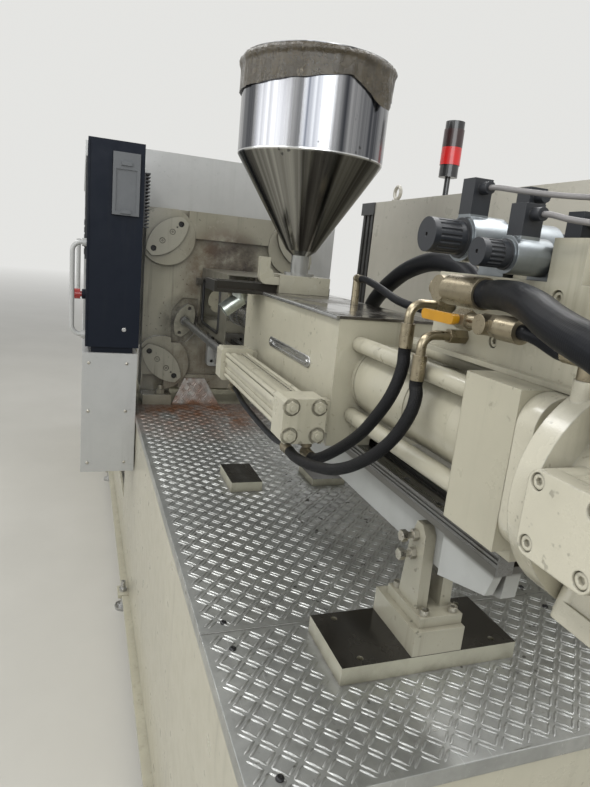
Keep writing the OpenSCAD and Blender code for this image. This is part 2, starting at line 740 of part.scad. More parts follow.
// A gate's frame round its window; y is its inner face
module gate(y, s) {
  h = gate_z1 - gate_z0;
  a = abs(y);
  cx = (gate_x0 + gate_x1) / 2;
  difference() {
    run_y(min(s * a, s * (a + gate_t)), max(s * a, s * (a + gate_t)))
      translate([cx, gate_z0 + h / 2]) round_rect(gate_l, h, 24);
    run_y(min(s * (a - 1), s * (a + gate_t + 1)), max(s * (a - 1), s * (a + gate_t + 1)))
      translate([cx, gate_z0 + h / 2 + 60]) round_rect(gate_l - 260, h - 340, 30);
    // Rebate for the window
    run_y(min(s * (a - 1), s * (a + 6)), max(s * (a - 1), s * (a + 6)))
      translate([cx, gate_z0 + h / 2 + 60]) round_rect(gate_l - 230, h - 310, 40);
  }
  // Tongues in the upper and lower rails
  box([gate_x0 + 40, min(s * (a + 6), s * (a + 12)), gate_z1 - 1], [gate_x1 - 40, max(s * (a + 6), s * (a + 12)), gate_z1 + 28]);
  box([gate_x0 + 40, min(s * (a + 6), s * (a + 12)), gate_z0 - 24], [gate_x1 - 40, max(s * (a + 6), s * (a + 12)), gate_z0 + 1]);
  // Handle
  hx = gate_x1 - 70;
  for (z = [1360, 1600]) ycyl(min(s * (a + gate_t - 1), s * (a + gate_t + 34)), max(s * (a + gate_t - 1), s * (a + gate_t + 34)), 8, hx, z);
  zcyl(1350, 1610, 9, hx, s * (a + gate_t + 34));
}

module gate_window(y, s) {
  h = gate_z1 - gate_z0;
  a = abs(y);
  run_y(min(s * (a + 1), s * (a + 5.8)), max(s * (a + 1), s * (a + 5.8)))
    translate([(gate_x0 + gate_x1) / 2, gate_z0 + h / 2 + 60]) round_rect(gate_l - 231, h - 311, 39.5);
}

module front_gate() color(grey_white) place() gate(-front_gate_y, -1);
module front_gate_window() color("#b9c4c9") place() gate_window(-front_gate_y, -1);
module rear_gate() color(grey_white) place() gate(rear_gate_y, 1);
module rear_gate_window() color("#b9c4c9") place() gate_window(rear_gate_y, 1);

module front_pillar() color(grey_white) place() {
  x0 = panel_x0 + 10;
  y0 = panel_y0 - 10;
  y1 = -max(bed_w / 2 + deck_t, platen_w / 2 + 4) - 2 * gap;
  top = panel_z - 24;
  difference() {
    union() {
      box([x0, y0, column_z], [panel_x, y1, top]);
      // Lug on the side of the bed
      box([x0 + 60, y1 - 1, column_z + 20], [panel_x - 60, -bed_w / 2 - gap / 3, deck_z - deck_lip - 20]);
    }
    box([x0 + sheet, y0 + sheet, column_z - 1], [panel_x - sheet, y1 - sheet, top - 6]);
    zcyl(top - 7, top + 1, 24 + fit, swivel_x, swivel_y);
    for (z = [column_z + 40, top - 40], y = [y0 + 25, y1 - 40])
      xcyl(panel_x - sheet - 1, panel_x + 1, 4, y, z);
  }
}

// Guard round the nozzle, with a window cut in each side
module nozzle_guard() color(cream) place() {
  y = feed_w / 2 + 5;
  x0 = gap;
  x1 = 505;
  z0 = axis_z - 100;
  z1 = axis_z + 155;
  difference() {
    box([x0, -y, z0], [x1, y, z1]);
    box([x0 - 1, -y + sheet, z0 - 1], [x1 + 1, y - sheet, z1 - sheet]);
    run_y(-y - 1, y + 1) translate([218, axis_z + 18]) round_rect(340, 190, 26);
  }
  // Feet screwed to the platen
  for (s = [-1, 1], foot = [[z0 + 24, 7], [z1 - 60, 22]])
    box([-boss_h + gap / 3, s > 0 ? y - sheet - 1 : -y - foot[1], foot[0] - 14],
      [4, s > 0 ? y + foot[1] : -y + sheet + 1, foot[0] + 14]);
}

// Control cabinet on its swivel

module control_cabinet() color(navy) place() {
  difference() {
    union() {
      box([panel_x0, panel_y0, panel_z], [panel_x, panel_y1, panel_z + panel_h]);
      // Plinth and swivel spigot
      box([panel_x0 + 24, panel_y0 + 22, panel_z - 24 + gap], [panel_x - 14, panel_y1 - 22, panel_z + 1]);
      zcyl(panel_z - 29, panel_z + 1, 24, swivel_x, swivel_y);
    }
    // Rebates round the screen and the plug-in module
    box([panel_x0 + 30, panel_y0 - 1, panel_z + 330], [panel_x - 60, panel_y0 + 6, panel_z + panel_h - 60]);
    box([panel_x - 5, panel_y1 - 116, panel_z + panel_h - 263], [panel_x + 1, panel_y1 - 16, panel_z + panel_h - 38]);
    // Key lock
    xcyl(panel_x - 12, panel_x + 1, 9, panel_y1 - 58, panel_z + 72);
    ycyl(panel_y0 - 1, panel_y0 + 16, 11 + fit, stop_x, stop_z);
  }
  // Collar of the emergency stop
  difference() {
    ycyl(panel_y0 - 14, panel_y0 + 1, 19, stop_x, stop_z);
    ycyl(panel_y0 - 15, panel_y0 + 2, 11 + fit, stop_x, stop_z);
  }
  // Folded door edge
  box([panel_x - 1, panel_y0 + 4, panel_z + 6], [panel_x + 3, panel_y0 + 7, panel_z + panel_h - 6]);
}

module control_screen() color(dark) place() {
  x0 = panel_x0 + 31;
  x1 = panel_x - 61;
  z0 = panel_z + 331;
  z1 = panel_z + panel_h - 61;
  difference() {
    box([x0, panel_y0 - 6, z0], [x1, panel_y0 + 5.7, z1]);
    box([x0 + 22, panel_y0 - 7, z0 + 168], [x1 - 22, panel_y0 - 2, z1 - 22]);
  }
  // Keys
  for (i = [0:5], j = [0:4])
    box([x0 + 24 + i * 32, panel_y0 - 9, z0 + 16 + j * 28], [x0 + 46 + i * 32, panel_y0 - 5.5, z0 + 36 + j * 28]);
}

module cabinet_handle() color(steel) place() {
  x = panel_x - 22;
  y = panel_y0 - handle_out;
  z0 = panel_z + 45;
  z1 = panel_z + 394;
  bend = 34;
  for (z = [z0, z1]) {
    ycyl(y + bend, panel_y0 - gap / 3, handle_r, x, z);
    ycyl(panel_y0 - 16, panel_y0 - gap / 3, 15, x, z);
  }
  zcyl(z0 + bend, z1 - bend, handle_r, x, y);
  for (t = [[z0 + bend, 180], [z1 - bend, 0]])
    translate([x, y + bend, t[0]]) rotate([0, -90, 0]) rotate(t[1] == 0 ? -90 : 180)
      rotate_extrude(angle = 90) translate([bend, 0]) circle(handle_r);
}

module plug_in_module() color("#6d7072") place() {
  y0 = panel_y1 - 115;
  y1 = panel_y1 - 17;
  z0 = panel_z + panel_h - 262;
  z1 = panel_z + panel_h - 39;
  difference() {
    box([panel_x - 4.8, y0, z0], [panel_x + 12, y1, z1]);
    box([panel_x + 8, y0 + 12, z0 + 14], [panel_x + 13, y1 - 12, z1 - 60]);
  }
  // Latches
  for (z = [z0 + 6, z1 - 46]) box([panel_x + 11, y0 + 30, z], [panel_x + 18, y1 - 30, z + 14]);
}

module cabinet_heat_sink() color(dark) place() {
  y0 = panel_y1 + gap / 3;
  z0 = panel_z + panel_h - 298;
  box([panel_x - 130, y0, z0], [panel_x - 4, y0 + 5, z0 + 200]);
  for (i = [0:15]) box([panel_x - 130, y0 + 4, z0 + i * 13], [panel_x - 4, y0 + 22, z0 + i * 13 + 5]);
}

module emergency_stop() color("#b8201c") place() {
  ycyl(panel_y0 - 42, panel_y0 - 20, 20, stop_x, stop_z);
  ycyl(panel_y0 - 21, panel_y0 + 10, 11, stop_x, stop_z);
}

// Electrical cabinet

module electrical_cabinet() color(cream) place() {
  y1 = ecab_y + ecab_d;
  x1 = ecab_x + ecab_l;
  difference() {
    box([ecab_x, ecab_y, 0], [x1, y1, ecab_h]);
    box([ecab_x + sheet, ecab_y + sheet, 100 + sheet], [x1 - sheet, y1 + 1, ecab_h - sheet]);
    box([ecab_x + 60, ecab_y - 1, -1], [x1 - 60, y1 + 1, 60]);
    // Toe recess over the bed's feet
    box([ecab_x - 1, ecab_y - 1, -1], [x1 + 1, ecab_y + 46, 100]);
  }
  // Mounting plate inside
  box([ecab_x + 60, ecab_y + 40, 180], [x1 - 60, ecab_y + 43, ecab_h - 80]);
  for (x = [ecab_x + 100, x1 - 100], z = [220, ecab_h - 120]) ycyl(ecab_y + sheet - 0.5, ecab_y + 41, 6, x, z);
  // Hinge eyes on the far side post
  for (z = door_hinges()) zcyl(z - 40, z - gap, 9, ecab_x - 10, y1 + gap + door_t / 2);
  for (z = door_hinges()) box([ecab_x - 12, y1 - 30, z - 40], [ecab_x + 1, y1 + 6, z - gap]);
  // Lifting eyes
  for (x = [ecab_x + 80, x1 - 80], y = [ecab_y + 45, y1 - 60]) {
    zcyl(ecab_h - 1, ecab_h + 10, 18, x, y);
    translate([x, y, ecab_h + 36]) rotate([90, 0, 0]) rotate_extrude() translate([22, 0]) circle(6.5);
  }
  // Ties to the bed
  for (x = [ecab_x + 200, x1 - 200])
    box([x - 30, bed_w / 2 + gap / 3, deck_z - 160], [x + 30, ecab_y + 1, deck_z - 120]);
}

function door_hinges() = [300, ecab_h - 200];

module cabinet_door() color(cream) place() {
  y0 = ecab_y + ecab_d + gap;
  x1 = ecab_x + ecab_l;
  difference() {
    box([ecab_x + 4, y0, 104], [x1 - 2, y0 + door_t, ecab_h - 4]);
    box([ecab_x + 26, y0 - 1, 126], [x1 - 24, y0 + door_t - sheet, ecab_h - 26]);
    ycyl(y0 - 1, y0 + door_t + 1, 10 + fit, switch_x(), switch_z());
  }
  // Hinge eyes
  for (z = door_hinges()) {
    zcyl(z, z + 40, 9, ecab_x - 10, y0 + door_t / 2);
    box([ecab_x - 12, y0 + door_t / 2 + 1, z], [ecab_x + 5, y0 + door_t - 1, z + 40]);
  }
  // Latch handle
  ycyl(y0 + door_t - 1, y0 + door_t + 12, 14, x1 - 60, 1000);
  box([x1 - 70, y0 + door_t + 11, 900], [x1 - 50, y0 + door_t + 19, 1015]);
}

function switch_x() = ecab_x + ecab_l - 160;
function switch_z() = 1450;

module main_switch() color("#b8201c") place() {
  y0 = ecab_y + ecab_d + gap + door_t;
  ycyl(y0 + gap, y0 + 12, 32, switch_x(), switch_z());
  ycyl(y0 - door_t, y0 + 2, 10, switch_x(), switch_z());
  box([switch_x() - 9, y0 + 11, switch_z() - 30], [switch_x() + 9, y0 + door_out, switch_z() + 30]);
}

module signal_tower() color("#a01818") place() {
  x = ecab_x + 380;
  y = ecab_y + 60;
  z = ecab_h + gap / 3;
  zcyl(z, z + 5, 26, x, y);
  zcyl(z + 4, z + 68, 9, x, y);
  zcyl(z + 67, z + 104, tower_r - 2, x, y);
  zcyl(z + 104, z + 158, tower_r, x, y);
  zcyl(z + 158, z + 212, tower_r, x, y);
  zcyl(z + 212, z + 236, tower_r - 2, x, y);
}

module water_regulator() color("#3c4044") place() {
  x1 = ecab_x - gap / 3;
  x0 = x1 - 108;
  z0 = 1330;
  z1 = ecab_h;
  box([x0, ecab_y + 30, z0], [x1, ecab_y + 45, z1]);
  box([x0, ecab_y - 6, z1 - 46], [x1, ecab_y + 31, z1]);
  box([x0, ecab_y - 6, z0], [x1, ecab_y + 31, z0 + 50]);
  for (x = [x0 + 12, x0 + 46, x0 + 80]) box([x, ecab_y, z0 + 40], [x + 16, ecab_y + 31, z1 - 40]);
  for (x = [x0 + 36, x0 + 70]) {
    zcyl(z0 + 40, z1 - 40, 6, x + 1, ecab_y + 20);
    ycyl(ecab_y - 22, ecab_y - 5, 10, x, z0 + 28);
  }
}

// Carriage guide and its support

module guide_beam() color(grey_white) place() {
  x0 = gap / 3;
  z0 = web_top - web_h;
  y = beam_y;
  // Top plate
  box([x0, -rail_out, web_top], [beam_end, rail_out, beam_top]);
  // Side plate under the near end
  run_y(-rail_out, -rail_out + 15)
    polygon([[seat_x + 7, web_top + 1], [seat_x + 7, z0 + 10], [beam_end - 14, z0 + 44], [beam_end, web_top + 1]]);
  // Web with a sloped near end
  run_y(y - web_t / 2, y + web_t / 2)
    polygon([[x0, web_top + 1], [x0, z0], [beam_end - 132, z0], [beam_end - 8, z0 + 40], [beam_end - 4, web_top + 1]]);
  // End flange on the platen
  difference() {
    run_x(-boss_h + gap / 3, x0 + 16) translate([0, web_top - 20]) round_rect(170, 150, 12);
    for (sy = [-1, 1], sz = [-1, 1]) xcyl(-boss_h, x0 + 20, 7, sy * 64, web_top - 20 + sz * 52);
  }
  // Gussets at the flange
  for (s = [-1, 1]) run_y(y + s * 40 - 5, y + s * 40 + 5)
    polygon([[x0 + 15, web_top + 1], [x0 + 15, z0], [x0 + 100, web_top + 1]]);
}

module rail_profile() {
  // Grooved rail, drawn about its outer side at u = 0
  difference() {
    square([rail_w, rail_h]);
    translate([-1, 5]) square([4, 3]);
    translate([-1, 12]) square([4, 4]);
    translate([rail_w - 3, 5]) square([4, 3]);
    translate([rail_w - 3, 12]) square([4, 4]);
  }
}

module carriage_rails() color("#4b4d50") place() {
  for (s = [-1, 1]) {
    difference() {
      run_x(20, beam_end - gap) translate([s < 0 ? -rail_out : rail_out - rail_w, beam_top + gap / 3]) rail_profile();
      for (i = [0:16]) zcyl(rail_z - 8, rail_z + 1, 6, 70 + i * (beam_end - 130) / 16, s * (rail_out - rail_w / 2));
    }
    // End cap
    box([beam_end, s < 0 ? -rail_out : rail_out - rail_w, beam_top - 12],
      [beam_end + 3, s < 0 ? -rail_out + rail_w : rail_out, rail_z - 1]);
  }
}

module deck_seat_plates() color("#57554c") place() {
  z = deck_z + gap / 3;
  difference() {
    box([seat_x - seat_l, seat_y - seat_w / 2, z], [seat_x, seat_y + seat_w / 2, deck_z + seat_t]);
    for (i = [-1, 1], j = [-1, 1])
      zcyl(z - 1, deck_z + seat_t + 1, 6, seat_x - seat_l / 2 + i * 58, seat_y + j * (seat_w / 2 - 42));
  }
  // Two small pads further along the deck
  box([865, -194, z], [1022, -99, deck_z + 30]);
  box([870, 74, z], [1000, 184, deck_z + 22]);
}

module support_block() color(cream) place()
  box([seat_x - seat_l + 2, block_y - 51, deck_z + seat_t + gap / 3], [seat_x - 1, block_y + 51, block_top]);

module support_bracket() color(cream) place() {
  z = block_top + gap / 3;
  x1 = seat_x - 12;
  x0 = seat_x - seat_l + 23;
  top = web_top - 16;
  inner = web_t / 2 + gap / 3;
  difference() {
    union() {
      box([x0, beam_y - 44, z], [x1, beam_y + 44, z + bracket_foot]);
      // Two cheeks, each side of the beam's web
      for (s = [-1, 1])
        run_y(min(beam_y + s * inner, beam_y + s * (inner + bracket_t)), max(beam_y + s * inner, beam_y + s * (inner + bracket_t)))
          polygon([[x1 - 28, z + 1], [x1 - 34, top - 16], [x1 - 48, top], [x1 - 66, top],
            [x1 - 82, top - 40], [x1 - 96, z + 1]]);
    }
    for (x = [x1 - 12, x0 + 12], s = [-1, 1]) zcyl(z - 1, z + bracket_foot + 1, 5.5, x, beam_y + s * 30);
    for (h = [26, 62]) ycyl(beam_y - 60, beam_y + 60, 6.2, x1 - 62, top - h);
  }
}

module bracket_bolts() color(zinc) place() {
  x1 = seat_x - 12;
  x0 = seat_x - seat_l + 23;
  top = web_top - 16;
  z = block_top + gap / 3 + bracket_foot;
  out = web_t / 2 + gap / 3 + bracket_t;
  // Clamp screws with lock nuts, pressing on the web
  for (s = [-1, 1], h = [26, 62]) {
    a = beam_y + s * (web_t / 2 + gap / 3);
    b = beam_y + s * (out + 32);
    ycyl(min(a, b), max(a, b), 6, x1 - 62, top - h);
    translate([x1 - 62, beam_y + s * (out + gap / 3), top - h]) rotate([s > 0 ? -90 : 90, 0, 0]) cylinder(h = 10, r = 11, $fn = 6);
    translate([x1 - 62, beam_y + s * (out + 22), top - h]) rotate([s > 0 ? -90 : 90, 0, 0]) cylinder(h = 11, r = 11, $fn = 6);
  }
  // Socket screws in the bracket's foot
  for (x = [x1 - 12, x0 + 12], s = [-1, 1]) translate([x, beam_y + s * 30, z + gap / 3]) difference() {
    union() {
      cylinder(h = 10, r = 8.5);
      translate([0, 0, -16]) cylinder(h = 17, r = 5);
    }
    translate([0, 0, 4]) cylinder(h = 7, r = 4.5, $fn = 6);
  }
}

// Traverse cylinders

module traverse_rods() color(stainless) place() {
  for (s = [-1, 1]) {
    xcyl(-boss_h, trav_x0 + trav_far_l + 26, rod_r, s * trav_y, trav_z);
    // Piston
    xcyl(trav_x0 + trav_far_l + 2, trav_x0 + trav_far_l + 26, 28 - fit, s * trav_y, trav_z);
    // Flange in the platen's seat
    translate([-boss_h - 8 + gap / 3, s * trav_y, trav_z]) rotate([90, 0, 90]) difference() {
      linear_extrude(rod_flange_t) rotate(s * 20) rotate(90) scale(0.72) cover_outline();
      rotate(s * 20) rotate(90) for (t = [-1, 1]) translate([t * 58, 0, -1]) cylinder(h = 30, r = 8);
      translate([0, 0, -1]) cylinder(h = 30, r = rod_r - 0.5);
    }
    xcyl(-boss_h + rod_flange_t - 9, -boss_h + rod_flange_t + 20, rod_r + 6, s * trav_y, trav_z);
  }
}

// Cylinder tube: a square extrusion with corner channels for the tie rods and shallow side grooves
module trav_profile() {
  difference() {
    round_rect(70, 70, 24);
    for (sy = [-1, 1], sz = [-1, 1]) translate([sy * trav_tie, sz * trav_tie]) circle(8);
    for (a = [0:90:270]) rotate(a) translate([34, 0]) square([6, 14], center = true);
    circle(28);
  }
}

module trav_head_outline() {
  c = 7;
  h = trav_head / 2;
  polygon([[-h, -h + c], [-h + c, -h], [h - c, -h], [h, -h + c], [h, h - c], [h - c, h], [-h + c, h], [-h, h - c]]);
}

module traverse_cylinders() color(cream) place() {
  for (s = [-1, 1]) translate([0, s * trav_y, trav_z]) {
    // Tube
    run_x(trav_x0 + trav_far_l - 0.5, trav_x1 - trav_near_l + 0.5) trav_profile();
    // Far head with the rod gland
    difference() {
      union() {
        run_x(trav_x0, trav_x0 + trav_far_l) trav_head_outline();
        xcyl(trav_x0 - 10, trav_x0 + 1, 24, 0, 0);
      }
      xcyl(trav_x0 - 11, trav_x0 + trav_far_l + 1, rod_r + fit, 0, 0);
    }
    // Near head with counterbored nuts
    difference() {
      run_x(trav_x1 - trav_near_l, trav_x1) trav_head_outline();
      for (sy = [-1, 1], sz = [-1, 1]) xcyl(trav_x1 - 7, trav_x1 + 1, 18, sy * trav_tie, sz * trav_tie);
    }
    for (sy = [-1, 1], sz = [-1, 1]) {
      xcyl(trav_x0 - 4, trav_x1 + 10, 6, sy * trav_tie, sz * trav_tie);
      hex_x(trav_x1 - 7, sy * trav_tie, sz * trav_tie, 13.5, 13);
      hex_x(trav_x0 - 10, sy * trav_tie, sz * trav_tie, 12.5, 10);
    }
    // Lugs to the feed block
    for (x = [trav_x1 - trav_near_l + 4, trav_x0 + 4])
      box([x, min(-s * (trav_head / 2 - 1), -s * (trav_y - feed_w / 2 - gap / 3)), -36],
        [x + 30, max(-s * (trav_head / 2 - 1), -s * (trav_y - feed_w / 2 - gap / 3)), 36]);
  }
}

// Injection unit

module feed_block() color(cream) place() {
  y = feed_w / 2;
  difference() {
    box([feed_x, -y, feed_bottom], [feed_x1, y, feed_top]);
    // Barrel seat, feed throat and shaft bore
    xcyl(feed_x - 1, feed_x + 330, barrel_r + fit);
    xcyl(feed_x + 320, feed_x1 + 1, 34);
    zcyl(axis_z, feed_top + 1, 26, hopper_x, 0);
    // Pocket over the shaft, under the cover plate
    box([feed_x + 300, -72, axis_z - 60], [feed_x1 - 60, 72, feed_top + 1]);
    // Seats of the tie columns
    four(column_y, column_dz) rotate([0, 90, 0]) translate([0, 0, feed_x1 - 40]) cylinder(h = 41, r = column_r + fit);
    // Relief over the beam's top plate
    box([feed_x - 1, -rail_out + rail_w + 2, feed_bottom - 1], [feed_x1 + 1, rail_out - rail_w - 2, feed_bottom + 14]);
  }
}

module feed_block_cover() color("#4a4843") place() {
  y = feed_w / 2 + 2;
  z = feed_top + gap / 3;
  difference() {
    box([feed_x, -y, z], [feed_x1 + 2, y, cover_top]);
    zcyl(z - 1, cover_top + 1, 26, hopper_x, 0);
    for (x = [feed_x + 260, feed_x + 420, feed_x1 - 30], s = [-1, 1]) zcyl(cover_top - 3, cover_top + 1, 7, x, s * (y - 18));
  }
  // Bright round bar along the operator's edge
  xcyl(hopper_x + 70, feed_x1 + 2, 5, -feed_w / 2 - gap / 3 - 5, z + 1);
}

module injection_cylinder() color(cream) place() {
  x0 = feed_x1 + gap / 3;
  x1 = rear_x - gap / 3;
  difference() {
    union() {
      xcyl(x0, x1, cyl_r - 1.5);
      xcyl(x0, x0 + 12, cyl_r + 1);
      xcyl(x0 + 15, x0 + 218, cyl_r);
      xcyl(x1 - 40, x1, cyl_r);
    }
    xcyl(x0 + 14, x1 - 14, piston_r + fit);
    xcyl(x0 - 1, x1 + 1, 26 + fit);
  }
}

module tie_columns() color(cream) place() {
  four(column_y, column_dz) rotate([0, 90, 0]) translate([0, 0, feed_x1 - 39])
    cylinder(h = cyl_l + 39 + rear_t - 12, r = column_r);
}

module rear_plate() color(cream) place() {
  y = rear_w / 2;
  difference() {
    union() {
      // Outline in plan, with the far corners rounded
      translate([0, 0, rear_bottom]) linear_extrude(rear_up + rear_down) {
        translate([rear_x + 9, -y]) square([rear_t - 9, rear_w]);
        translate([rear_x, -y + 9]) square([20, rear_w - 18]);
        for (s = [-1, 1]) translate([rear_x + 9, s * (y - 9)]) circle(9);
      }
      // Shoes on the carriage rails
      for (s = [-1, 1])
        box([rear_x + 10, s < 0 ? -rail_out : rail_out - rail_w, rail_z + gap],
          [rear_x + rear_t - 10, s < 0 ? -rail_out + rail_w : rail_out, rear_bottom + 1]);
    }
    xcyl(rear_x - 1, rear_x1 + 1, 34);
    four(column_y, column_dz) rotate([0, 90, 0]) translate([0, 0, rear_x - 1]) cylinder(h = rear_t - 10, r = column_r + fit);
  }
}

// One of the motor's five cylinders, pointing along +Z from the motor's axis
module motor_lobe() {
  difference() {
    union() {
      // Cast chamber
      translate([0, 0, 40]) linear_extrude(lobe_r - 40 - 22) round_rect(lobe_l - 6, lobe_w - 8, 22);
      // Cover with cut corners
      translate([0, 0, lobe_r - 24]) linear_extrude(24) difference() {
        round_rect(lobe_l, lobe_w, 16);
        for (sx = [-1, 1], sy = [-1, 1]) translate([sx * 60, sy * 57]) circle(17);
      }
      // Screw seats, a step below the cover's face
      for (sx = [-1, 1], sy = [-1, 1]) translate([sx * 39, sy * 36, 60]) cylinder(h = lobe_r - 60 - 8, r = 14);
    }
    for (sx = [-1, 1], sy = [-1, 1]) translate([sx * 39, sy * 36, lobe_r - 10]) cylinder(h = 20, r = 10);
  }
  for (sx = [-1, 1], sy = [-1, 1]) translate([sx * 39, sy * 36, lobe_r - 11]) difference() {
    cylinder(h = 9, r = 8.5);
    translate([0, 0, 4]) cylinder(h = 6, r = 4.8, $fn = 6);
  }
}

module hydraulic_motor() color(cream) place() {
  drum_r = 148;
  difference() {
    union() {
      // Mounting flange with large round corners
      run_x(motor_x, motor_x + 34) translate([0, axis_z - 4]) round_rect(rear_w - 1, rear_top - rear_bottom - 10, 45);
      // Cast housing, flared out to a drum in front of the cylinders
      translate([motor_x + 33, 0, axis_z]) rotate([0, 90, 0]) cylinder(h = 46, r1 = 92, r2 = drum_r);
      xcyl(motor_x + 78, motor_x + 112, drum_r);
      xcyl(motor_x + 111, motor_x1 - 62, 108);
      translate([motor_x1 - 63, 0, axis_z]) rotate([0, 90, 0]) cylinder(h = 20, r1 = 108, r2 = 84);
      zcyl(axis_z + 100, drain_port[2], 15, drain_port[0], drain_port[1]);
      // Oil distributor on the near end
      xcyl(motor_x1 - 44, motor_x1 - 8, 66);
      xcyl(motor_x1 - 9, motor_x1, 40);
      run_x(motor_x1 - 44, motor_x1 - 4) translate([-118, axis_z - 66]) round_rect(116, 54, 12);
      for (k = [0:4]) translate([lobe_x, 0, axis_z]) rotate([-90 + 180 + k * 72, 0, 0]) motor_lobe();
    }
    xcyl(motor_x - 1, motor_x1 - 60, 30);
    // Flat under the drum and the lowest lobe, which pass over the rails
    box([motor_x + 40, -120, axis_z - 200], [lobe_x + 60, 60, rail_z + 1]);
  }
}

module barrel() color(steel) place() {
  x1 = feed_x + 330 - gap / 3;
  x0 = feed_x - barrel_l;
  difference() {
    union() {
      xcyl(x0, x1, barrel_r);
      xcyl(x0, x0 + 50, barrel_r + 14);
      // Nozzle
      xcyl(x0 - 50, x0 + 1, 26);
      translate([x0 - 62, 0, axis_z]) rotate([0, 90, 0]) cylinder(h = 13, r1 = 18, r2 = 26);
      translate([tip_x, 0, axis_z]) rotate([0, 90, 0]) cylinder(h = x0 - 61 - tip_x, r1 = 10, r2 = 18);
    }
    xcyl(x0 - 1, x1 + 1, screw_r + fit);
    xcyl(tip_x - 1, x0 + 1, 3);
    zcyl(axis_z, axis_z + 60, 20, hopper_x, 0);
  }
}

module heater_bands() color("#a5a39c") place() {
  x0 = feed_x - barrel_l;
  for (i = [0:3]) translate([x0 + 62 + i * 118, 0, 0]) difference() {
    union() {
      xcyl(0, 96, barrel_r + 9);
      box([20, -8, axis_z + barrel_r + 4], [76, 8, axis_z + barrel_r + 26]);
    }
    xcyl(-1, 97, barrel_r + fit);
  }
}

module injection_piston() color(steel) place() {
  x0 = feed_x1 + 20;
  difference() {
    union() {
      xcyl(x0, x0 + 80, piston_r);
      xcyl(x0 - 15, x0 + 220, 26);
    }
    xcyl(x0 - 16, x0 + 221, 16 + fit);
  }
}

module injection_screw() color(steel) place() {
  x0 = feed_x - barrel_l + 6;
  flight_end = feed_x + 300;
  turns = (flight_end - x0 - 40) / (3.2 * screw_r);
  // Shaft back to the motor's splined hub
  xcyl(flight_end - 1, motor_x + 30, 16);
  xcyl(x0 + 30, flight_end, screw_r * 0.62);
  translate([x0, 0, axis_z]) rotate([0, 90, 0]) cylinder(h = 31, r1 = 3, r2 = screw_r * 0.62);
  // One flight, twisted along the root
  translate([x0 + 38, 0, axis_z]) rotate([0, 90, 0])
    linear_extrude(height = flight_end - x0 - 40, twist = -turns * 360, slices = round(turns * 6), $fn = 8)
      polygon([[0, -3], [screw_r - 0.4, -3], [screw_r - 0.4, 3], [0, 3]]);
}

// Manifold with its valves and fittings

module manifold_block() color(cream) place() {
  difference() {
    union() {
      box([man_x, man_y, man_z], [man_x + man_l, man_y + man_d, man_top]);
      // Carrier plate on the rear plate
      box([man_x - 70, man_y - 14, rear_top + gap / 3], [man_x + man_l, man_y + man_d, man_z + 1]);
      // Blocks behind the valves
      box([man_x + 168, man_y + 20, man_top - 1], [man_x + 206, man_y + man_d, man_top + 46]);
      box([valve_x[1] + valve_coil_r[1] + gap, man_y, man_top - 1], [man_x + 325, man_y + 60, man_top + 59]);
      box([man_x + 300, man_y + 40, man_top - 1], [man_x + man_l - 14, man_y + man_d, man_top + 92]);
    }
    for (p = manifold_screws())
      ycyl(man_y - 1, man_y + 12, 11, man_x + p[0], man_z + p[1]);
  }
  for (p = manifold_screws())
    translate([man_x + p[0], man_y + 11.5, man_z + p[1]]) rotate([90, 0, 0]) difference() {
      cylinder(h = 9, r = 9);
      translate([0, 0, 4]) cylinder(h = 6, r = 5, $fn = 6);
    }
}

function manifold_screws() = [[53, 76], [173, 33], [288, 110]];

// A valve across the manifold: body, coil, knurled cap and plug on the operator's side, the same behind
module valve(k) {
  x = valve_x[k];
  r = valve_coil_r[k];
  z = man_top + r + valve_lift[k];
  y = man_y;
  h = valve_body_w[k];
  half = valve_coil_r[k] - 4;
  box([x - half, y + 6, man_top + gap / 3], [x + half, y + 6 + h, z + half * 0.7]);
  for (s = [-1, 1]) {
    a = s < 0 ? y + 7 : y + 5 + h;
    b = a + s * valve_coil_l[k];
    ycyl(min(a, b), max(a, b), r, x, z);
    ycyl(min(b, b + s * 4), max(b, b + s * 4), r - 5, x, z);
    // Knurled cap
    translate([x, b + s * 3, z]) rotate([s < 0 ? 90 : -90, 0, 0]) difference() {
      cylinder(h = valve_knob_l[k], r = valve_knob_r[k]);
      for (t = [0:20:340]) rotate(t) translate([valve_knob_r[k] + 1, 0, 12]) cylinder(h = valve_knob_l[k] - 22, r = 2.6);
      translate([0, 0, valve_knob_l[k] - 3]) cylinder(h = 4, r = 3);
    }
    // Plug with its cable gland
    py = s < 0 ? b + plug_in[k] : a + plug_in[k];
    box([x - 15, py - 16, z + r - 5], [x + 15, py + 16, z + r + plug_h[k]]);
    xcyl(x + 14, x + 32, 9, py, z + r + plug_h[k] - 14);
  }
}

module solenoid_valves() color("#8d9194") place() for (k = [0, 1]) valve(k);

// A nut on the manifold's side, a bent tube down, and the hose's ferrule
module elbow_fitting(port) {
  x = port[0];
  z = port[1];
  y0 = man_y - gap / 3;
  y1 = elbow_y + bend;
  translate([x, y0, z]) rotate([90, 0, 0]) cylinder(h = 32, r = 12.5, $fn = 6);
  ycyl(y1, y0 - 31, 8, x, z);
  translate([x, y1, z - bend]) rotate([0, -90, 0]) rotate(270) rotate_extrude(angle = 90) translate([bend, 0]) circle(8);
  zcyl(z - bend - 14, z - bend, 8, x, elbow_y);
  zcyl(z - bend - 14 - ferrule_l, z - bend - 12, 12, x, elbow_y);
}

// A nut under a traverse cylinder's head, a ball elbow, and a ferrule along X; s is the ferrule's side
module head_fitting(x, y, z, s, l) {
  zcyl(trav_z - trav_head / 2 - 11, trav_z - trav_head / 2 - gap / 3, 12, x, y);
  zcyl(z, trav_z - trav_head / 2 - 10, 8, x, y);
  translate([x, y, z]) sphere(r = 12.5, $fn = 24);
  xcyl(min(x, x + s * l), max(x, x + s * l), 11.5, y, z);
}

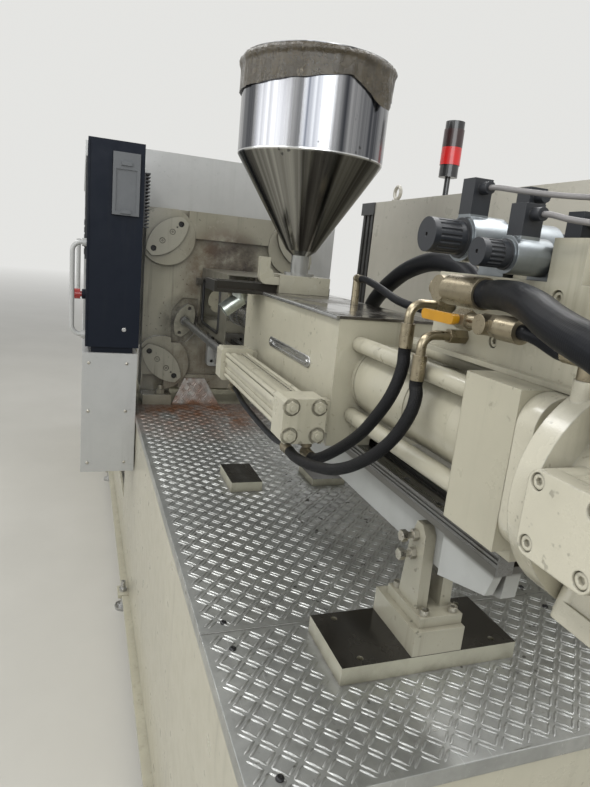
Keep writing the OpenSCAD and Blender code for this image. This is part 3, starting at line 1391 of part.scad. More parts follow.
module hose_fittings() color(zinc) place() {
  elbow_fitting(port1);
  elbow_fitting(port2);
  // Large swivel fitting and ferrule of the pressure hose, and its ferrule on the motor
  ycyl(man_y - 46 - 20, man_y - gap / 3, 21, big_port[0], big_port[1]);
  xcyl(big_port[0] - 34, big_port[0] + 12, 15, man_y - 46, big_port[1]);
  xcyl(big_port[0] + 10, big_hose[0][0] - 0.5, 24, man_y - 46, big_port[1]);
  zcyl(axis_z - 39 + gap / 3, 1401.5, 24, 2297, -146);
  // Fittings of the return hose
  zcyl(trav_z + trav_head / 2 + gap / 3, 1362, 24, 916, trav_y);
  xcyl(man_x - 24, man_x - gap / 3, 24, 100, 1602);
  // Fittings of the two traverse hoses under the near head, and of the branch pipe under the far head
  head_fitting(trav_x1 - 20, hose_1[12][1], branch_z, 1, 33.5);
  head_fitting(trav_x1 - 52, branch_y, branch_z, 1, 28.5);
  xcyl(branch_pipe[0][0] + 0.5, trav_x1 - 52, 9, branch_y, branch_z);
  head_fitting(trav_x0 + 30, -trav_y, 1231, 1, 26.5);
  // Ball valve: pipe from the manifold, body, nuts and the ferrule of the drain hose
  ycyl(tap[1], man_y - gap / 3, 10, tap[0] + 8, tap[2]);
  hex_x(tap[0] - 15, tap[1], tap[2], 15, 30);
  xcyl(tap[0] + 14, tap[0] + 44, 11, tap[1], tap[2]);
  ycyl(tap[1] - 19, tap[1] + 19, 14, tap[0] + 58, tap[2]);
  hex_x(tap[0] + 43, tap[1], tap[2], 15, 40);
  xcyl(tap[0] + 82, drain_hose[0][0] - 0.5, 16.5, tap[1], tap[2]);
  // Banjo of the drain hose on the motor
  zcyl(drain_port[2] + gap / 3, 1560, 13, drain_port[0], drain_port[1]);
  xcyl(2072, drain_port[0], 11, drain_port[1], 1548);
  // Cooling elbow on the cover plate, and its fitting on the manifold
  zcyl(cover_top + gap / 3, 1587, 10, 1178, 60);
  xcyl(1178, 1204.5, 10, 60, 1587);
  translate([1178, 60, 1587]) sphere(r = 11, $fn = 24);
  xcyl(1665, man_x - gap / 3, 11, 30, 1550);
}

module ball_valve_handle() color("#e0a818") place() {
  y = tap[1] - 17;
  ycyl(y - 8, tap[1] - 15 * cos(30) - gap, 7, tap[0], tap[2]);
  run_y(y - 14, y - 7) translate([tap[0] - 26, tap[2]]) round_rect(84, 15, 7);
}

module traverse_hoses() color("#1e2024") place() {
  tube(hose_1, hose_r);
  tube(hose_2, hose_r);
  tube(branch_pipe, 7);
}

module manifold_hoses() color("#1e2024") place() {
  tube(big_hose, big_hose_r);
  tube(loop_hose, big_hose_r);
  tube(drain_hose, 10);
  tube(cooling_hose, 9);
}

// Hopper on its slide

module hopper() color(stainless) place() translate([hopper_x, 0, 0]) {
  neck_z = cone_z - 14;
  rotate_extrude($fn = 96) polygon([
    [20, slide_top + gap / 3], [46, slide_top + gap / 3], [46, slide_top + 8], [27, slide_top + 8],
    [27, neck_z], [45, cone_z], [hopper_r, drum_z], [hopper_r, hopper_top - 6],
    [hopper_r + 3, hopper_top - 6], [hopper_r + 3, hopper_top],
    [hopper_r - hopper_t, hopper_top], [hopper_r - hopper_t, drum_z + 1],
    [45 - hopper_t, cone_z + 1], [27 - hopper_t, neck_z], [27 - hopper_t, slide_top + 8], [20, slide_top + 8]]);
}

module hopper_slide() color(cream) place() {
  z = cover_top + gap;
  x0 = hopper_x - 62;
  x1 = hopper_x + 62;
  difference() {
    box([x0, -79, z], [x1, 79, slide_top]);
    zcyl(z - 1, slide_top + 1, 22, hopper_x, 0);
    for (x = slide_bars()) box([x - 8 - gap, -80, z - 1], [x + 8 + gap, 80, z + 22 + gap]);
  }
  // Stop bracket on the operator's side, with a rounded corner
  run_x(x1 - 26, x1 - 2) {
    translate([-112, slide_top - 30]) square([34, 22]);
    translate([-112, slide_top + 4]) circle(12);
    translate([-140, slide_top - 8]) square([30, 55]);
    translate([-118, slide_top - 8]) circle(22);
  }
}

function slide_bars() = [hopper_x - 32, hopper_x + 32];

module hopper_rails() color("#5a5448") place() {
  z = cover_top + gap / 3;
  y0 = -hopper_travel - 90;
  spout_r = 22;
  for (x = slide_bars()) box([x - 8, y0, z], [x + 8, 90, z + 22]);
  // Table beyond the feed block, with the drain spout under it
  difference() {
    union() {
      box([hopper_x - 66, y0, z - 9], [hopper_x + 66, -feed_w / 2 - 8, z + gap / 3]);
      box([hopper_x - 66, y0, z - 1], [hopper_x + 66, y0 + 8, z + 22]);
      zcyl(z - 33, z, spout_r, hopper_x, -hopper_travel);
      translate([hopper_x, -hopper_travel, z - 31]) rotate([-52, 0, 0]) translate([0, 0, -58]) cylinder(h = 66, r = spout_r);
    }
    zcyl(z - 31, z + 2, spout_r - 2, hopper_x, -hopper_travel);
    translate([hopper_x, -hopper_travel, z - 31]) rotate([-52, 0, 0]) translate([0, 0, -59]) cylinder(h = 64, r = spout_r - 2);
  }
}

// Pump set inside the bed

module pump_and_motor() color("#5d6a70") place() {
  z = 400;
  x0 = pump_feet()[0] - 70;
  x1 = pump_feet()[1] + 110;
  xcyl(x0, x1, 150, 0, z);
  for (a = [0:15:345]) translate([x0 + 20, 0, z]) rotate([a, 0, 0]) translate([0, -3, 148]) cube([x1 - x0 - 80, 6, 16]);
  xcyl(x1 - 50, x1, 160, 0, z);
  xcyl(x0 - 60, x0 + 1, 110, 0, z);
  xcyl(x0 - 260, x0 - 59, 80, 0, z);
  xcyl(x0 - 280, x0 - 259, 98, 0, z);
  for (x = pump_feet()) box([x - 30, -150, 190 + gap / 3], [x + 30, 150, z - 110]);
  box([x0 + 120, -70, z + 140], [x0 + 260, 70, z + 220]);
}

machine_bed();
levelling_feet();
deck_plate_near();
deck_plate_far();
toe_plate();
fixed_platen();
tie_bars();
tie_bar_covers();
clamp_cylinder_block();
clamp_cylinder();
clamp_guard();
front_pillar();
nozzle_guard();
electrical_cabinet();
signal_tower();
water_regulator();
guide_beam();
carriage_rails();
deck_seat_plates();
support_block();
support_bracket();
bracket_bolts();
traverse_rods();
pump_and_motor();
control_cabinet();
control_screen();
cabinet_handle();
plug_in_module();
cabinet_heat_sink();
emergency_stop();
moving_platen();
clamp_ram();
ejector_cylinder();
ejector_rod();
front_gate();
front_gate_window();
rear_gate();
rear_gate_window();
cabinet_door();
main_switch();
feed_block();
feed_block_cover();
injection_cylinder();
tie_columns();
rear_plate();
hydraulic_motor();
barrel();
heater_bands();
traverse_cylinders();
manifold_block();
solenoid_valves();
hose_fittings();
injection_piston();
injection_screw();
hopper();
hopper_slide();
hopper_rails();
ball_valve_handle();
traverse_hoses();
manifold_hoses();
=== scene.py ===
import math
import random

import bmesh
import bpy
from mathutils import Matrix, Vector


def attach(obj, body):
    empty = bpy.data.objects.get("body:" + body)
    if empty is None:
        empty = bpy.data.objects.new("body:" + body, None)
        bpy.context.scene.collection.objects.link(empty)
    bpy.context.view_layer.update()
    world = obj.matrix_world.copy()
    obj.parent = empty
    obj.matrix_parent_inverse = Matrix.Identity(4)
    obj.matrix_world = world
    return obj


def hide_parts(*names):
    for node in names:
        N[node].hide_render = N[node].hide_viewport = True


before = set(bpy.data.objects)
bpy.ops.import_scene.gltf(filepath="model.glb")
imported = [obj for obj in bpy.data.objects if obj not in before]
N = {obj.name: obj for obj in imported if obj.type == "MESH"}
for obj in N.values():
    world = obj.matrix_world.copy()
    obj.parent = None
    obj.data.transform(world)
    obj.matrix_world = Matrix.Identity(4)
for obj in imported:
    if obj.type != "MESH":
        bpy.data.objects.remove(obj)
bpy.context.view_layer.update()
SX, SY = 0.21445, -0.12465


def P(x, y, z):
    """A point of the machine's working frame, in mm, as a place in the scene."""
    return Vector((x / 1000 + SX, y / 1000 + SY, z / 1000))


# Camera
cam_data = bpy.data.cameras.new("camera")
cam = bpy.data.objects.new("camera", cam_data)
bpy.context.scene.collection.objects.link(cam)
right = Vector((0.32714757, 0.94004883, 0.09634658)).normalized()
up = Vector((-0.24487685, -0.01414015, 0.96945107)).normalized()
back = right.cross(up).normalized()
up = back.cross(right)
rot = Matrix((right, up, back)).transposed()
cam.matrix_world = Matrix.Translation(P(2620, -620, 1630)) @ rot.to_4x4()
cam_data.lens = 27.152
cam_data.sensor_width = 36
cam_data.sensor_fit = "AUTO"
cam_data.clip_start = 0.05
cam_data.clip_end = 200
bpy.context.scene.camera = cam


# Places and sizes of the machine, in mm of the working frame
HOPPER_X = 890.0  # the hopper's upright axis
DRUM_Z = 1899.3  # seam between its drum and its cone
NECK_Z = 1630.3  # top of its clear neck
DECK_Z = 930.0
AXIS_Z = 1385.0  # the injection axis
TIE_Y, TIE_Z = 284.0, 272.0  # tie bars, from the axis
TRAV_Y, TRAV_Z = 189.0, 1303.0  # traverse cylinders
BAR_STEP, BAR_SHIFT = 25.2, 4.4  # raised bars: grid, and half the gap of a pair
TOE_Y, TOE_RISE, TOE_RUN = -131.5, 115.0, 18.0  # sloping toe plate
ECAB_X, ECAB_Y = 460.0, 440.0
VALVES = [(1760, 1872, 1715.2, -79.0, 91.0), (1872, 2000, 1685.2, -77.0, 89.0)]


# Materials

class Tree:
    """A material's node tree with short names for what the materials here need."""

    def __init__(self, name):
        self.mat = bpy.data.materials.new(name)
        self.mat.use_nodes = True
        self.nt = self.mat.node_tree
        self.nt.nodes.clear()
        self.out = self.add("ShaderNodeOutputMaterial")
        self.bsdf = self.add("ShaderNodeBsdfPrincipled")
        self.link(self.bsdf.outputs[0], self.out.inputs[0])
        self.co = self.add("ShaderNodeTexCoord").outputs["Object"]

    def add(self, kind, **props):
        node = self.nt.nodes.new(kind)
        for k, v in props.items():
            setattr(node, k, v)
        return node

    def link(self, a, b):
        self.nt.links.new(a, b)

    def put(self, socket, value):
        if isinstance(value, bpy.types.NodeSocket):
            self.link(value, socket)
        elif isinstance(value, (tuple, list)) and len(value) == 3 and socket.type == "RGBA":
            socket.default_value = (*value, 1)
        else:
            socket.default_value = value

    def math(self, op, a, b=0.0, clamp=False):
        node = self.add("ShaderNodeMath", operation=op, use_clamp=clamp)
        self.put(node.inputs[0], a)
        self.put(node.inputs[1], b)
        return node.outputs[0]

    def scaled(self, s, turn=(0, 0, 0)):
        node = self.add("ShaderNodeMapping")
        self.link(self.co, node.inputs["Vector"])
        node.inputs["Scale"].default_value = s
        node.inputs["Rotation"].default_value = turn
        return node.outputs[0]

    def noise(self, scale, detail=4.0, rough=0.55, vec=None):
        node = self.add("ShaderNodeTexNoise")
        self.link(vec or self.co, node.inputs["Vector"])
        node.inputs["Scale"].default_value = scale
        node.inputs["Detail"].default_value = detail
        node.inputs["Roughness"].default_value = rough
        return node.outputs["Fac"]

    def span(self, value, lo, hi, to_lo=0.0, to_hi=1.0):
        node = self.add("ShaderNodeMapRange", clamp=True)
        self.put(node.inputs[0], value)
        node.inputs[1].default_value = lo
        node.inputs[2].default_value = hi
        node.inputs[3].default_value = to_lo
        node.inputs[4].default_value = to_hi
        return node.outputs[0]

    def mix(self, fac, a, b):
        node = self.add("ShaderNodeMix", data_type="RGBA")
        self.put(node.inputs[0], fac)
        self.put(node.inputs[6], a)
        self.put(node.inputs[7], b)
        return node.outputs[2]

    def blend(self, fac, a, b):
        node = self.add("ShaderNodeMix", data_type="FLOAT")
        self.put(node.inputs[0], fac)
        self.put(node.inputs[2], a)
        self.put(node.inputs[3], b)
        return node.outputs[0]

    def corners(self, distance=0.05, samples=6):
        node = self.add("ShaderNodeAmbientOcclusion", samples=samples)
        node.inputs["Distance"].default_value = distance
        return self.math("SUBTRACT", 1.0, node.outputs["AO"], clamp=True)

    def rounded(self, radius=0.0012, samples=6):
        node = self.add("ShaderNodeBevel", samples=samples)
        node.inputs["Radius"].default_value = radius
        return node.outputs[0]

    def edges(self, normal):
        geo = self.add("ShaderNodeNewGeometry")
        dot = self.add("ShaderNodeVectorMath", operation="DOT_PRODUCT")
        self.link(normal, dot.inputs[0])
        self.link(geo.outputs["Normal"], dot.inputs[1])
        return self.span(dot.outputs["Value"], 0.995, 0.90)

    def axis(self, which):
        node = self.add("ShaderNodeSeparateXYZ")
        self.link(self.co, node.inputs[0])
        return node.outputs["XYZ".index(which)]

    def facing(self, which):
        geo = self.add("ShaderNodeNewGeometry")
        node = self.add("ShaderNodeSeparateXYZ")
        self.link(geo.outputs["Normal"], node.inputs[0])
        return node.outputs["XYZ".index(which)]

    def facing_up(self):
        return self.facing("Z")

    def inside(self, lo, hi, soft=0.0002):
        """1 inside a box of the working frame, in mm, and 0 outside it."""
        lo, hi = P(*lo), P(*hi)
        value = 1.0
        for k, which in enumerate("XYZ"):
            a = self.axis(which)
            value = self.math("MULTIPLY", value, self.span(a, lo[k] - soft, lo[k]))
            value = self.math("MULTIPLY", value, self.span(a, hi[k] + soft, hi[k]))
        return value

    def turn_about(self, point):
        """The angle about an upright line through a point, as a noise coordinate that closes on itself."""
        shift = self.add("ShaderNodeVectorMath", operation="SUBTRACT")
        self.link(self.co, shift.inputs[0])
        shift.inputs[1].default_value = point
        flat = self.add("ShaderNodeVectorMath", operation="MULTIPLY")
        self.link(shift.outputs[0], flat.inputs[0])
        flat.inputs[1].default_value = (1, 1, 0)
        unit = self.add("ShaderNodeVectorMath", operation="NORMALIZE")
        self.link(flat.outputs[0], unit.inputs[0])
        return unit.outputs[0]

    def near(self, point, radius):
        node = self.add("ShaderNodeVectorMath", operation="DISTANCE")
        self.link(self.co, node.inputs[0])
        node.inputs[1].default_value = point
        return self.span(node.outputs["Value"], radius, 0.0)

    def bump(self, height, strength=0.2, distance=0.001, normal=None):
        node = self.add("ShaderNodeBump")
        node.inputs["Strength"].default_value = strength
        node.inputs["Distance"].default_value = distance
        self.link(height, node.inputs["Height"])
        if normal is not None:
            self.link(normal, node.inputs["Normal"])
        return node.outputs[0]

    def set(self, **values):
        names = {"color": "Base Color", "metal": "Metallic", "rough": "Roughness", "normal": "Normal",
                 "coat": "Coat Weight", "coat_rough": "Coat Roughness", "ior": "IOR", "alpha": "Alpha",
                 "spec": "Specular IOR Level", "trans": "Transmission Weight"}
        for k, v in values.items():
            self.put(self.bsdf.inputs[names[k]], v)
        return self.mat


def scale_color(c, k):
    return tuple(max(0.0, x * k) for x in c)


def paint(name, color, rough=0.3, grime_and_shade=(0.10, 0.085, 0.055), dirty=0.5, wear=0.5, peel=0.12, coat=0.35,
          edge=(0.30, 0.29, 0.25), round_mm=1.4, oily=0.0,
          stains=(), rim=None):
    """Sprayed paint: patchy tone, grime in runs, grime and painted shade in the corners, rubbed edges and an
    orange-peel skin.
    """
    t = Tree(name)
    n = t.rounded(round_mm / 1000)
    big = t.noise(2.3, 5)
    mid = t.noise(17, 5, 0.6)
    col = t.mix(t.span(big, 0.3, 0.7), scale_color(color, 0.93), scale_color(color, 1.05))
    col = t.mix(t.span(mid, 0.45, 0.75, 0, 0.35), col, scale_color(color, 0.84))
    runs = t.noise(1.0, 4, 0.6, vec=t.scaled((34, 34, 1.6)))
    runs = t.math("MULTIPLY", t.span(runs, 0.54, 0.72), t.span(t.noise(3.1, 3), 0.42, 0.62))
    col = t.mix(t.math("MULTIPLY", runs, 0.55 * dirty), col, grime_and_shade)
    # Grime and painted shade: darker where ambient occlusion finds corners and hollows
    corner_grime_and_shade = t.corners(0.045)
    corner_grime_and_shade = t.math("MULTIPLY", t.span(corner_grime_and_shade, 0.12, 0.75), t.span(mid, 0.3, 0.62, 0.35, 1.0))
    col = t.mix(t.math("MULTIPLY", corner_grime_and_shade, 0.9 * dirty), col, grime_and_shade)
    specks = t.math("MULTIPLY", t.span(t.noise(75, 2, 0.5), 0.66, 0.72), t.span(t.noise(5, 2), 0.45, 0.6))
    col = t.mix(t.math("MULTIPLY", specks, 0.8 * dirty), col, scale_color(grime_and_shade, 0.5))
    for point, radius, tone, share in stains:
        patch = t.math("MULTIPLY", t.span(t.near(point, radius), 0.0, 0.55),
                       t.span(t.noise(11, 5, 0.7), 0.30, 0.58))
        col = t.mix(t.math("MULTIPLY", patch, share), col, tone)
    if rim:
        # Darker brown on every face but the one toward the injection end
        side = t.span(t.facing("X"), 0.93, 0.80)
        col = t.mix(t.math("MULTIPLY", side, 0.85), col, rim)
    rub = t.math("MULTIPLY", t.edges(n), t.span(t.noise(48, 4, 0.7), 0.50, 0.60))
    rub = t.math("MULTIPLY", rub, wear)
    col = t.mix(rub, col, edge)
    r = t.blend(t.span(mid, 0.3, 0.7), rough * 0.85, rough * 1.3)
    r = t.blend(corner_grime_and_shade, r, 0.62)
    if oily:
        r = t.blend(t.span(t.noise(6, 3), 0.5, 0.62, 0, oily), r, 0.1)
    b = t.bump(t.noise(420, 2, 0.4), peel, 0.0004, n)
    b = t.bump(t.noise(9, 2), 0.05, 0.004, b)
    return t.set(color=col, rough=r, coat=coat, coat_rough=0.12, normal=b)


def metal(name, color, rough=0.3, grime_and_shade=(0.06, 0.05, 0.035), dirty=0.4, brushed=None, grain=0.15,
          round_mm=0.8, metallic=1.0):
    """Bare or plated metal: brushed or mottled, with grime and painted shade in the corners."""
    t = Tree(name)
    n = t.rounded(round_mm / 1000, 4)
    mid = t.noise(22, 5, 0.6)
    lines = t.noise(1.0, 5, 0.7, vec=t.scaled(brushed or (90, 90, 90)))
    col = t.mix(t.span(lines, 0.3, 0.7), scale_color(color, 0.86), scale_color(color, 1.08))
    # Grime and painted shade darken the corners, from ambient occlusion
    corner_grime_and_shade = t.math("MULTIPLY", t.span(t.corners(0.02), 0.1, 0.7), t.span(mid, 0.25, 0.65, 0.3, 1.0))
    col = t.mix(t.math("MULTIPLY", corner_grime_and_shade, dirty), col, grime_and_shade)
    blot = t.math("MULTIPLY", t.span(mid, 0.55, 0.75), dirty * 0.6)
    col = t.mix(blot, col, scale_color(grime_and_shade, 1.6))
    r = t.blend(t.span(lines, 0.3, 0.7), rough * 0.75, rough * 1.35)
    r = t.blend(corner_grime_and_shade, r, 0.6)
    b = t.bump(lines, grain, 0.0003, n)
    m = t.math("SUBTRACT", metallic, t.math("MULTIPLY", corner_grime_and_shade, 0.6), clamp=True)
    return t.set(color=col, rough=r, metal=m, normal=b)


def plastic(name, color, rough=0.45, grain=0.1, grain_scale=500, dirty=0.25, coat=0.0, round_mm=0.8,
            dust=(0.25, 0.24, 0.21)):
    """Moulded plastic or rubber with a fine skin and dust on what faces up."""
    t = Tree(name)
    n = t.rounded(round_mm / 1000, 4)
    mid = t.noise(14, 5, 0.6)
    col = t.mix(t.span(mid, 0.3, 0.7), scale_color(color, 0.85), scale_color(color, 1.15))
    top = t.math("MULTIPLY", t.span(t.facing_up(), 0.2, 1.0), t.span(t.noise(9, 5, 0.65), 0.4, 0.7))
    col = t.mix(t.math("MULTIPLY", top, dirty), col, dust)
    r = t.blend(t.span(mid, 0.3, 0.7), rough * 0.85, rough * 1.2)
    b = t.bump(t.noise(grain_scale, 2, 0.5), grain, 0.0003, n)
    return t.set(color=col, rough=r, normal=b, coat=coat)


def chequer(name):
    """Rolled chequer plate: polished by feet, darkened round the bars by grime and painted shade, scratched,
    rusty near the platen.
    """
    t = Tree(name)
    n = t.rounded(0.0028, 4)
    base = (0.56, 0.57, 0.555)
    big = t.noise(3.2, 5, 0.6)
    mid = t.noise(26, 5, 0.65)
    scratch = t.noise(1.0, 4, 0.7, vec=t.scaled((9, 260, 60), turn=(0, 0, 0.5)))
    scratch2 = t.noise(1.0, 4, 0.7, vec=t.scaled((240, 12, 60), turn=(0, 0, 0.25)))
    col = t.mix(t.span(big, 0.35, 0.68), scale_color(base, 0.62), scale_color(base, 1.05))
    col = t.mix(t.span(mid, 0.42, 0.7, 0, 0.55), col, scale_color(base, 0.5))
    col = t.mix(t.span(scratch, 0.62, 0.72, 0, 0.4), col, (0.85, 0.85, 0.84))
    # Grime and painted shade round the bars, from ambient occlusion
    corner_grime_and_shade = t.math("MULTIPLY", t.span(t.corners(0.012, 8), 0.06, 0.5), t.span(mid, 0.25, 0.6, 0.45, 1.0))
    col = t.mix(t.math("MULTIPLY", corner_grime_and_shade, 0.75), col, (0.10, 0.085, 0.06))
    drops = t.math("MULTIPLY", t.span(t.noise(42, 2, 0.5), 0.66, 0.70), t.span(t.noise(4, 2), 0.42, 0.58))
    col = t.mix(t.math("MULTIPLY", drops, 0.8), col, (0.03, 0.025, 0.02))
    # Rust-brown patch at the far end
    patch = t.math("MULTIPLY", t.span(t.near(P(190, -150, 930), 0.40), 0.0, 0.6),
                   t.span(t.noise(7, 5, 0.7), 0.34, 0.58))
    col = t.mix(t.math("MULTIPLY", patch, 0.95), col, (0.20, 0.085, 0.035))
    r = t.blend(t.span(big, 0.35, 0.68), 0.46, 0.30)
    r = t.blend(t.span(scratch2, 0.6, 0.7), r, 0.22)
    r = t.blend(corner_grime_and_shade, r, 0.6)
    m = t.math("SUBTRACT", 0.95, t.math("MULTIPLY", t.math("MAXIMUM", corner_grime_and_shade, patch), 0.6), clamp=True)
    b = t.bump(scratch, 0.08, 0.0003, n)
    b = t.bump(mid, 0.08, 0.0006, b)
    return t.set(color=col, rough=r, metal=m, normal=b)


def hose_rubber(name, color, braid):
    """Hose cover with a braided skin that follows the hose: U goes round it, and V along it in metres."""
    t = Tree(name)
    uv = t.add("ShaderNodeUVMap", uv_map="UVMap").outputs[0]
    split = t.add("ShaderNodeSeparateXYZ")
    t.link(uv, split.inputs[0])
    u = t.math("MULTIPLY", split.outputs[0], 2 * math.pi * 14)
    v = t.math("MULTIPLY", split.outputs[1], 2 * math.pi / 0.0052)
    one = t.math("SINE", t.math("ADD", u, v))
    two = t.math("SINE", t.math("SUBTRACT", u, v))
    weave = t.math("MULTIPLY", one, two)
    mid = t.noise(16, 5, 0.6)
    col = t.mix(t.span(mid, 0.3, 0.7), scale_color(color, 0.8), scale_color(color, 1.3))
    dust = t.math("MULTIPLY", t.span(t.facing_up(), 0.3, 1.0), t.span(t.noise(11, 5, 0.65), 0.42, 0.72))
    col = t.mix(t.math("MULTIPLY", dust, 0.10), col, (0.22, 0.21, 0.18))
    if braid:
        col = t.mix(t.span(weave, 0.1, 0.8, 0, 0.5), col, scale_color(color, 2.6))
    b = t.bump(weave, 0.10 + braid, 0.0006)
    b = t.bump(t.noise(300, 2), 0.12, 0.0003, b)
    return t.set(color=col, rough=t.blend(t.span(mid, 0.3, 0.7), 0.34, 0.5), spec=0.16, normal=b)


def bands(name, stops, axis="Z", rough=0.3, metallic=0.0, coat=0.4):
    """One piece in several colours along an axis; stops are (place in m, colour above it)."""
    t = Tree(name)
    a = t.axis(axis)
    col = stops[0][1]
    for place, c in stops[1:]:
        col = t.mix(t.span(a, place, place + 0.0003), col, c)
    mid = t.noise(20, 4)
    col = t.mix(t.span(mid, 0.45, 0.75, 0, 0.25), col, (0.06, 0.06, 0.06))
    b = t.bump(t.noise(300, 2), 0.06, 0.0003, t.rounded(0.001, 4))
    return t.set(color=col, rough=rough, metal=metallic, coat=coat, normal=b)


CREAM = (0.43, 0.405, 0.31)
RUST = (0.075, 0.038, 0.016)
SOOT = (0.018, 0.013, 0.009)
M = {}
M["cream"] = paint("cream_paint", CREAM, rough=0.30, dirty=0.6, wear=0.6)
M["cream_clean"] = paint("cream_paint_clean", (0.45, 0.427, 0.362), rough=0.30, dirty=0.3, wear=0.35)
# Darker cream for the hopper slide: oily grime and painted shade
M["cream_oily_and_shaded"] = paint("cream_paint_oily_and_shaded", scale_color(CREAM, 0.80), rough=0.27, dirty=0.95, wear=0.8,
                         oily=0.7)
# Painted shade: the support block and bracket get a darker cream for the shade they stand in
M["bracket"] = paint("cream_paint_bracket", scale_color(CREAM, 0.78), rough=0.3, dirty=0.8, wear=0.7)
# Painted shade: the platen's cream is darkened to two thirds for the shade the guard and hopper cast on it
M["platen"] = paint("cream_paint_platen", scale_color(CREAM, 0.66), rough=0.22, grime_and_shade=(0.06, 0.045, 0.025),
                    dirty=1.0, wear=0.6, peel=0.45, coat=0.6, round_mm=3.0, oily=0.6,
                    stains=[(P(-13, -30, 1556), 0.20, RUST, 0.95), (P(-13, 40, 1545), 0.16, SOOT, 0.85),
                            (P(-20, -120, 1420), 0.14, RUST, 0.45), (P(-20, -150, 1080), 0.22, RUST, 0.5),
                            (P(-62, -189, 1303), 0.13, SOOT, 0.95), (P(-62, 189, 1303), 0.13, SOOT, 0.95)])
M["cover"] = paint("cover_paint", (0.30, 0.285, 0.225), rough=0.3, grime_and_shade=(0.05, 0.04, 0.025), dirty=1.0,
                   wear=0.6,
                   rim=(0.055, 0.042, 0.026))
M["cast"] = paint("cream_paint_on_casting", (0.53, 0.50, 0.395), rough=0.26, dirty=0.5, wear=0.5, peel=0.5,
                  coat=0.5, round_mm=3.0)
# The nozzle guard's cream, taken down to about a quarter, and its sooty patch are oily grime and painted
# shade in the nozzle recess
M["guard"] = paint("cream_paint_guard", scale_color(CREAM, 0.27), rough=0.3, grime_and_shade=(0.05, 0.035, 0.02),
                   dirty=1.0, wear=0.6,
                   stains=[(P(120, -120, 1400), 0.30, SOOT, 0.7)])
M["white"] = paint("grey_white_paint", (0.42, 0.42, 0.405), rough=0.33, dirty=0.22, wear=0.3, coat=0.2)
M["navy"] = paint("navy_paint", (0.0085, 0.0115, 0.019), rough=0.45, grime_and_shade=(0.03, 0.03, 0.03), dirty=0.3,
                  wear=0.4, peel=0.3,
                  coat=0.0, edge=(0.06, 0.06, 0.065))
M["navy"].node_tree.nodes["Principled BSDF"].inputs["Specular IOR Level"].default_value = 0.12
M["deck"] = chequer("chequer_plate")
M["steel"] = metal("bright_steel", (0.50, 0.50, 0.49), rough=0.26, brushed=(8, 160, 160))
M["steel_rod"] = metal("ground_rod", (0.56, 0.56, 0.55), rough=0.16, brushed=(12, 200, 200), dirty=0.2)
M["zinc"] = metal("zinc_plate", (0.50, 0.475, 0.41), rough=0.30, dirty=0.5)
M["brass"] = metal("yellow_zinc", (0.33, 0.285, 0.20), rough=0.30, dirty=0.8)
M["rail"] = metal("rail_steel", (0.20, 0.20, 0.195), rough=0.28, brushed=(6, 200, 200), dirty=0.7,
                  metallic=0.9)
M["black_screw"] = metal("black_screw", (0.02, 0.02, 0.021), rough=0.3, dirty=0.2, metallic=0.6)
M["hose"] = hose_rubber("hose_rubber", (0.0062, 0.0068, 0.0088), braid=0.0)
M["braid"] = hose_rubber("braided_hose", (0.0050, 0.0050, 0.0056), braid=0.5)
M["cable"] = plastic("cable_sheath", (0.20, 0.19, 0.185), rough=0.45, dirty=0.1)
M["black"] = plastic("black_plastic", (0.010, 0.011, 0.013), rough=0.45, dirty=0.2)
M["seal"] = plastic("black_seal", (0.006, 0.006, 0.006), rough=0.5, dirty=0.1)
M["grey"] = plastic("grey_plastic", (0.10, 0.105, 0.11), rough=0.5)
M["red"] = plastic("red_plastic", (0.42, 0.013, 0.010), rough=0.28, grain=0.03, coat=0.5, dirty=0.1)
M["yellow"] = plastic("yellow_plastic", (0.42, 0.20, 0.001), rough=0.42, dirty=0.25,
                      dust=(0.12, 0.07, 0.01))
M["motor_blue"] = paint("motor_paint", (0.16, 0.2, 0.23), rough=0.35, dirty=0.5)
M["regulator"] = paint("regulator_paint", (0.035, 0.036, 0.038), rough=0.35, dirty=0.4)
TOWER_Z = 1.857 + 0.1043
M["tower"] = bands("signal_tower", [
    (0, (0.015, 0.015, 0.016)), (TOWER_Z, (0.62, 0.012, 0.012)),
    (TOWER_Z + 0.0535, (0.03, 0.008, 0.008)), (TOWER_Z + 0.108, (0.012, 0.012, 0.013))])


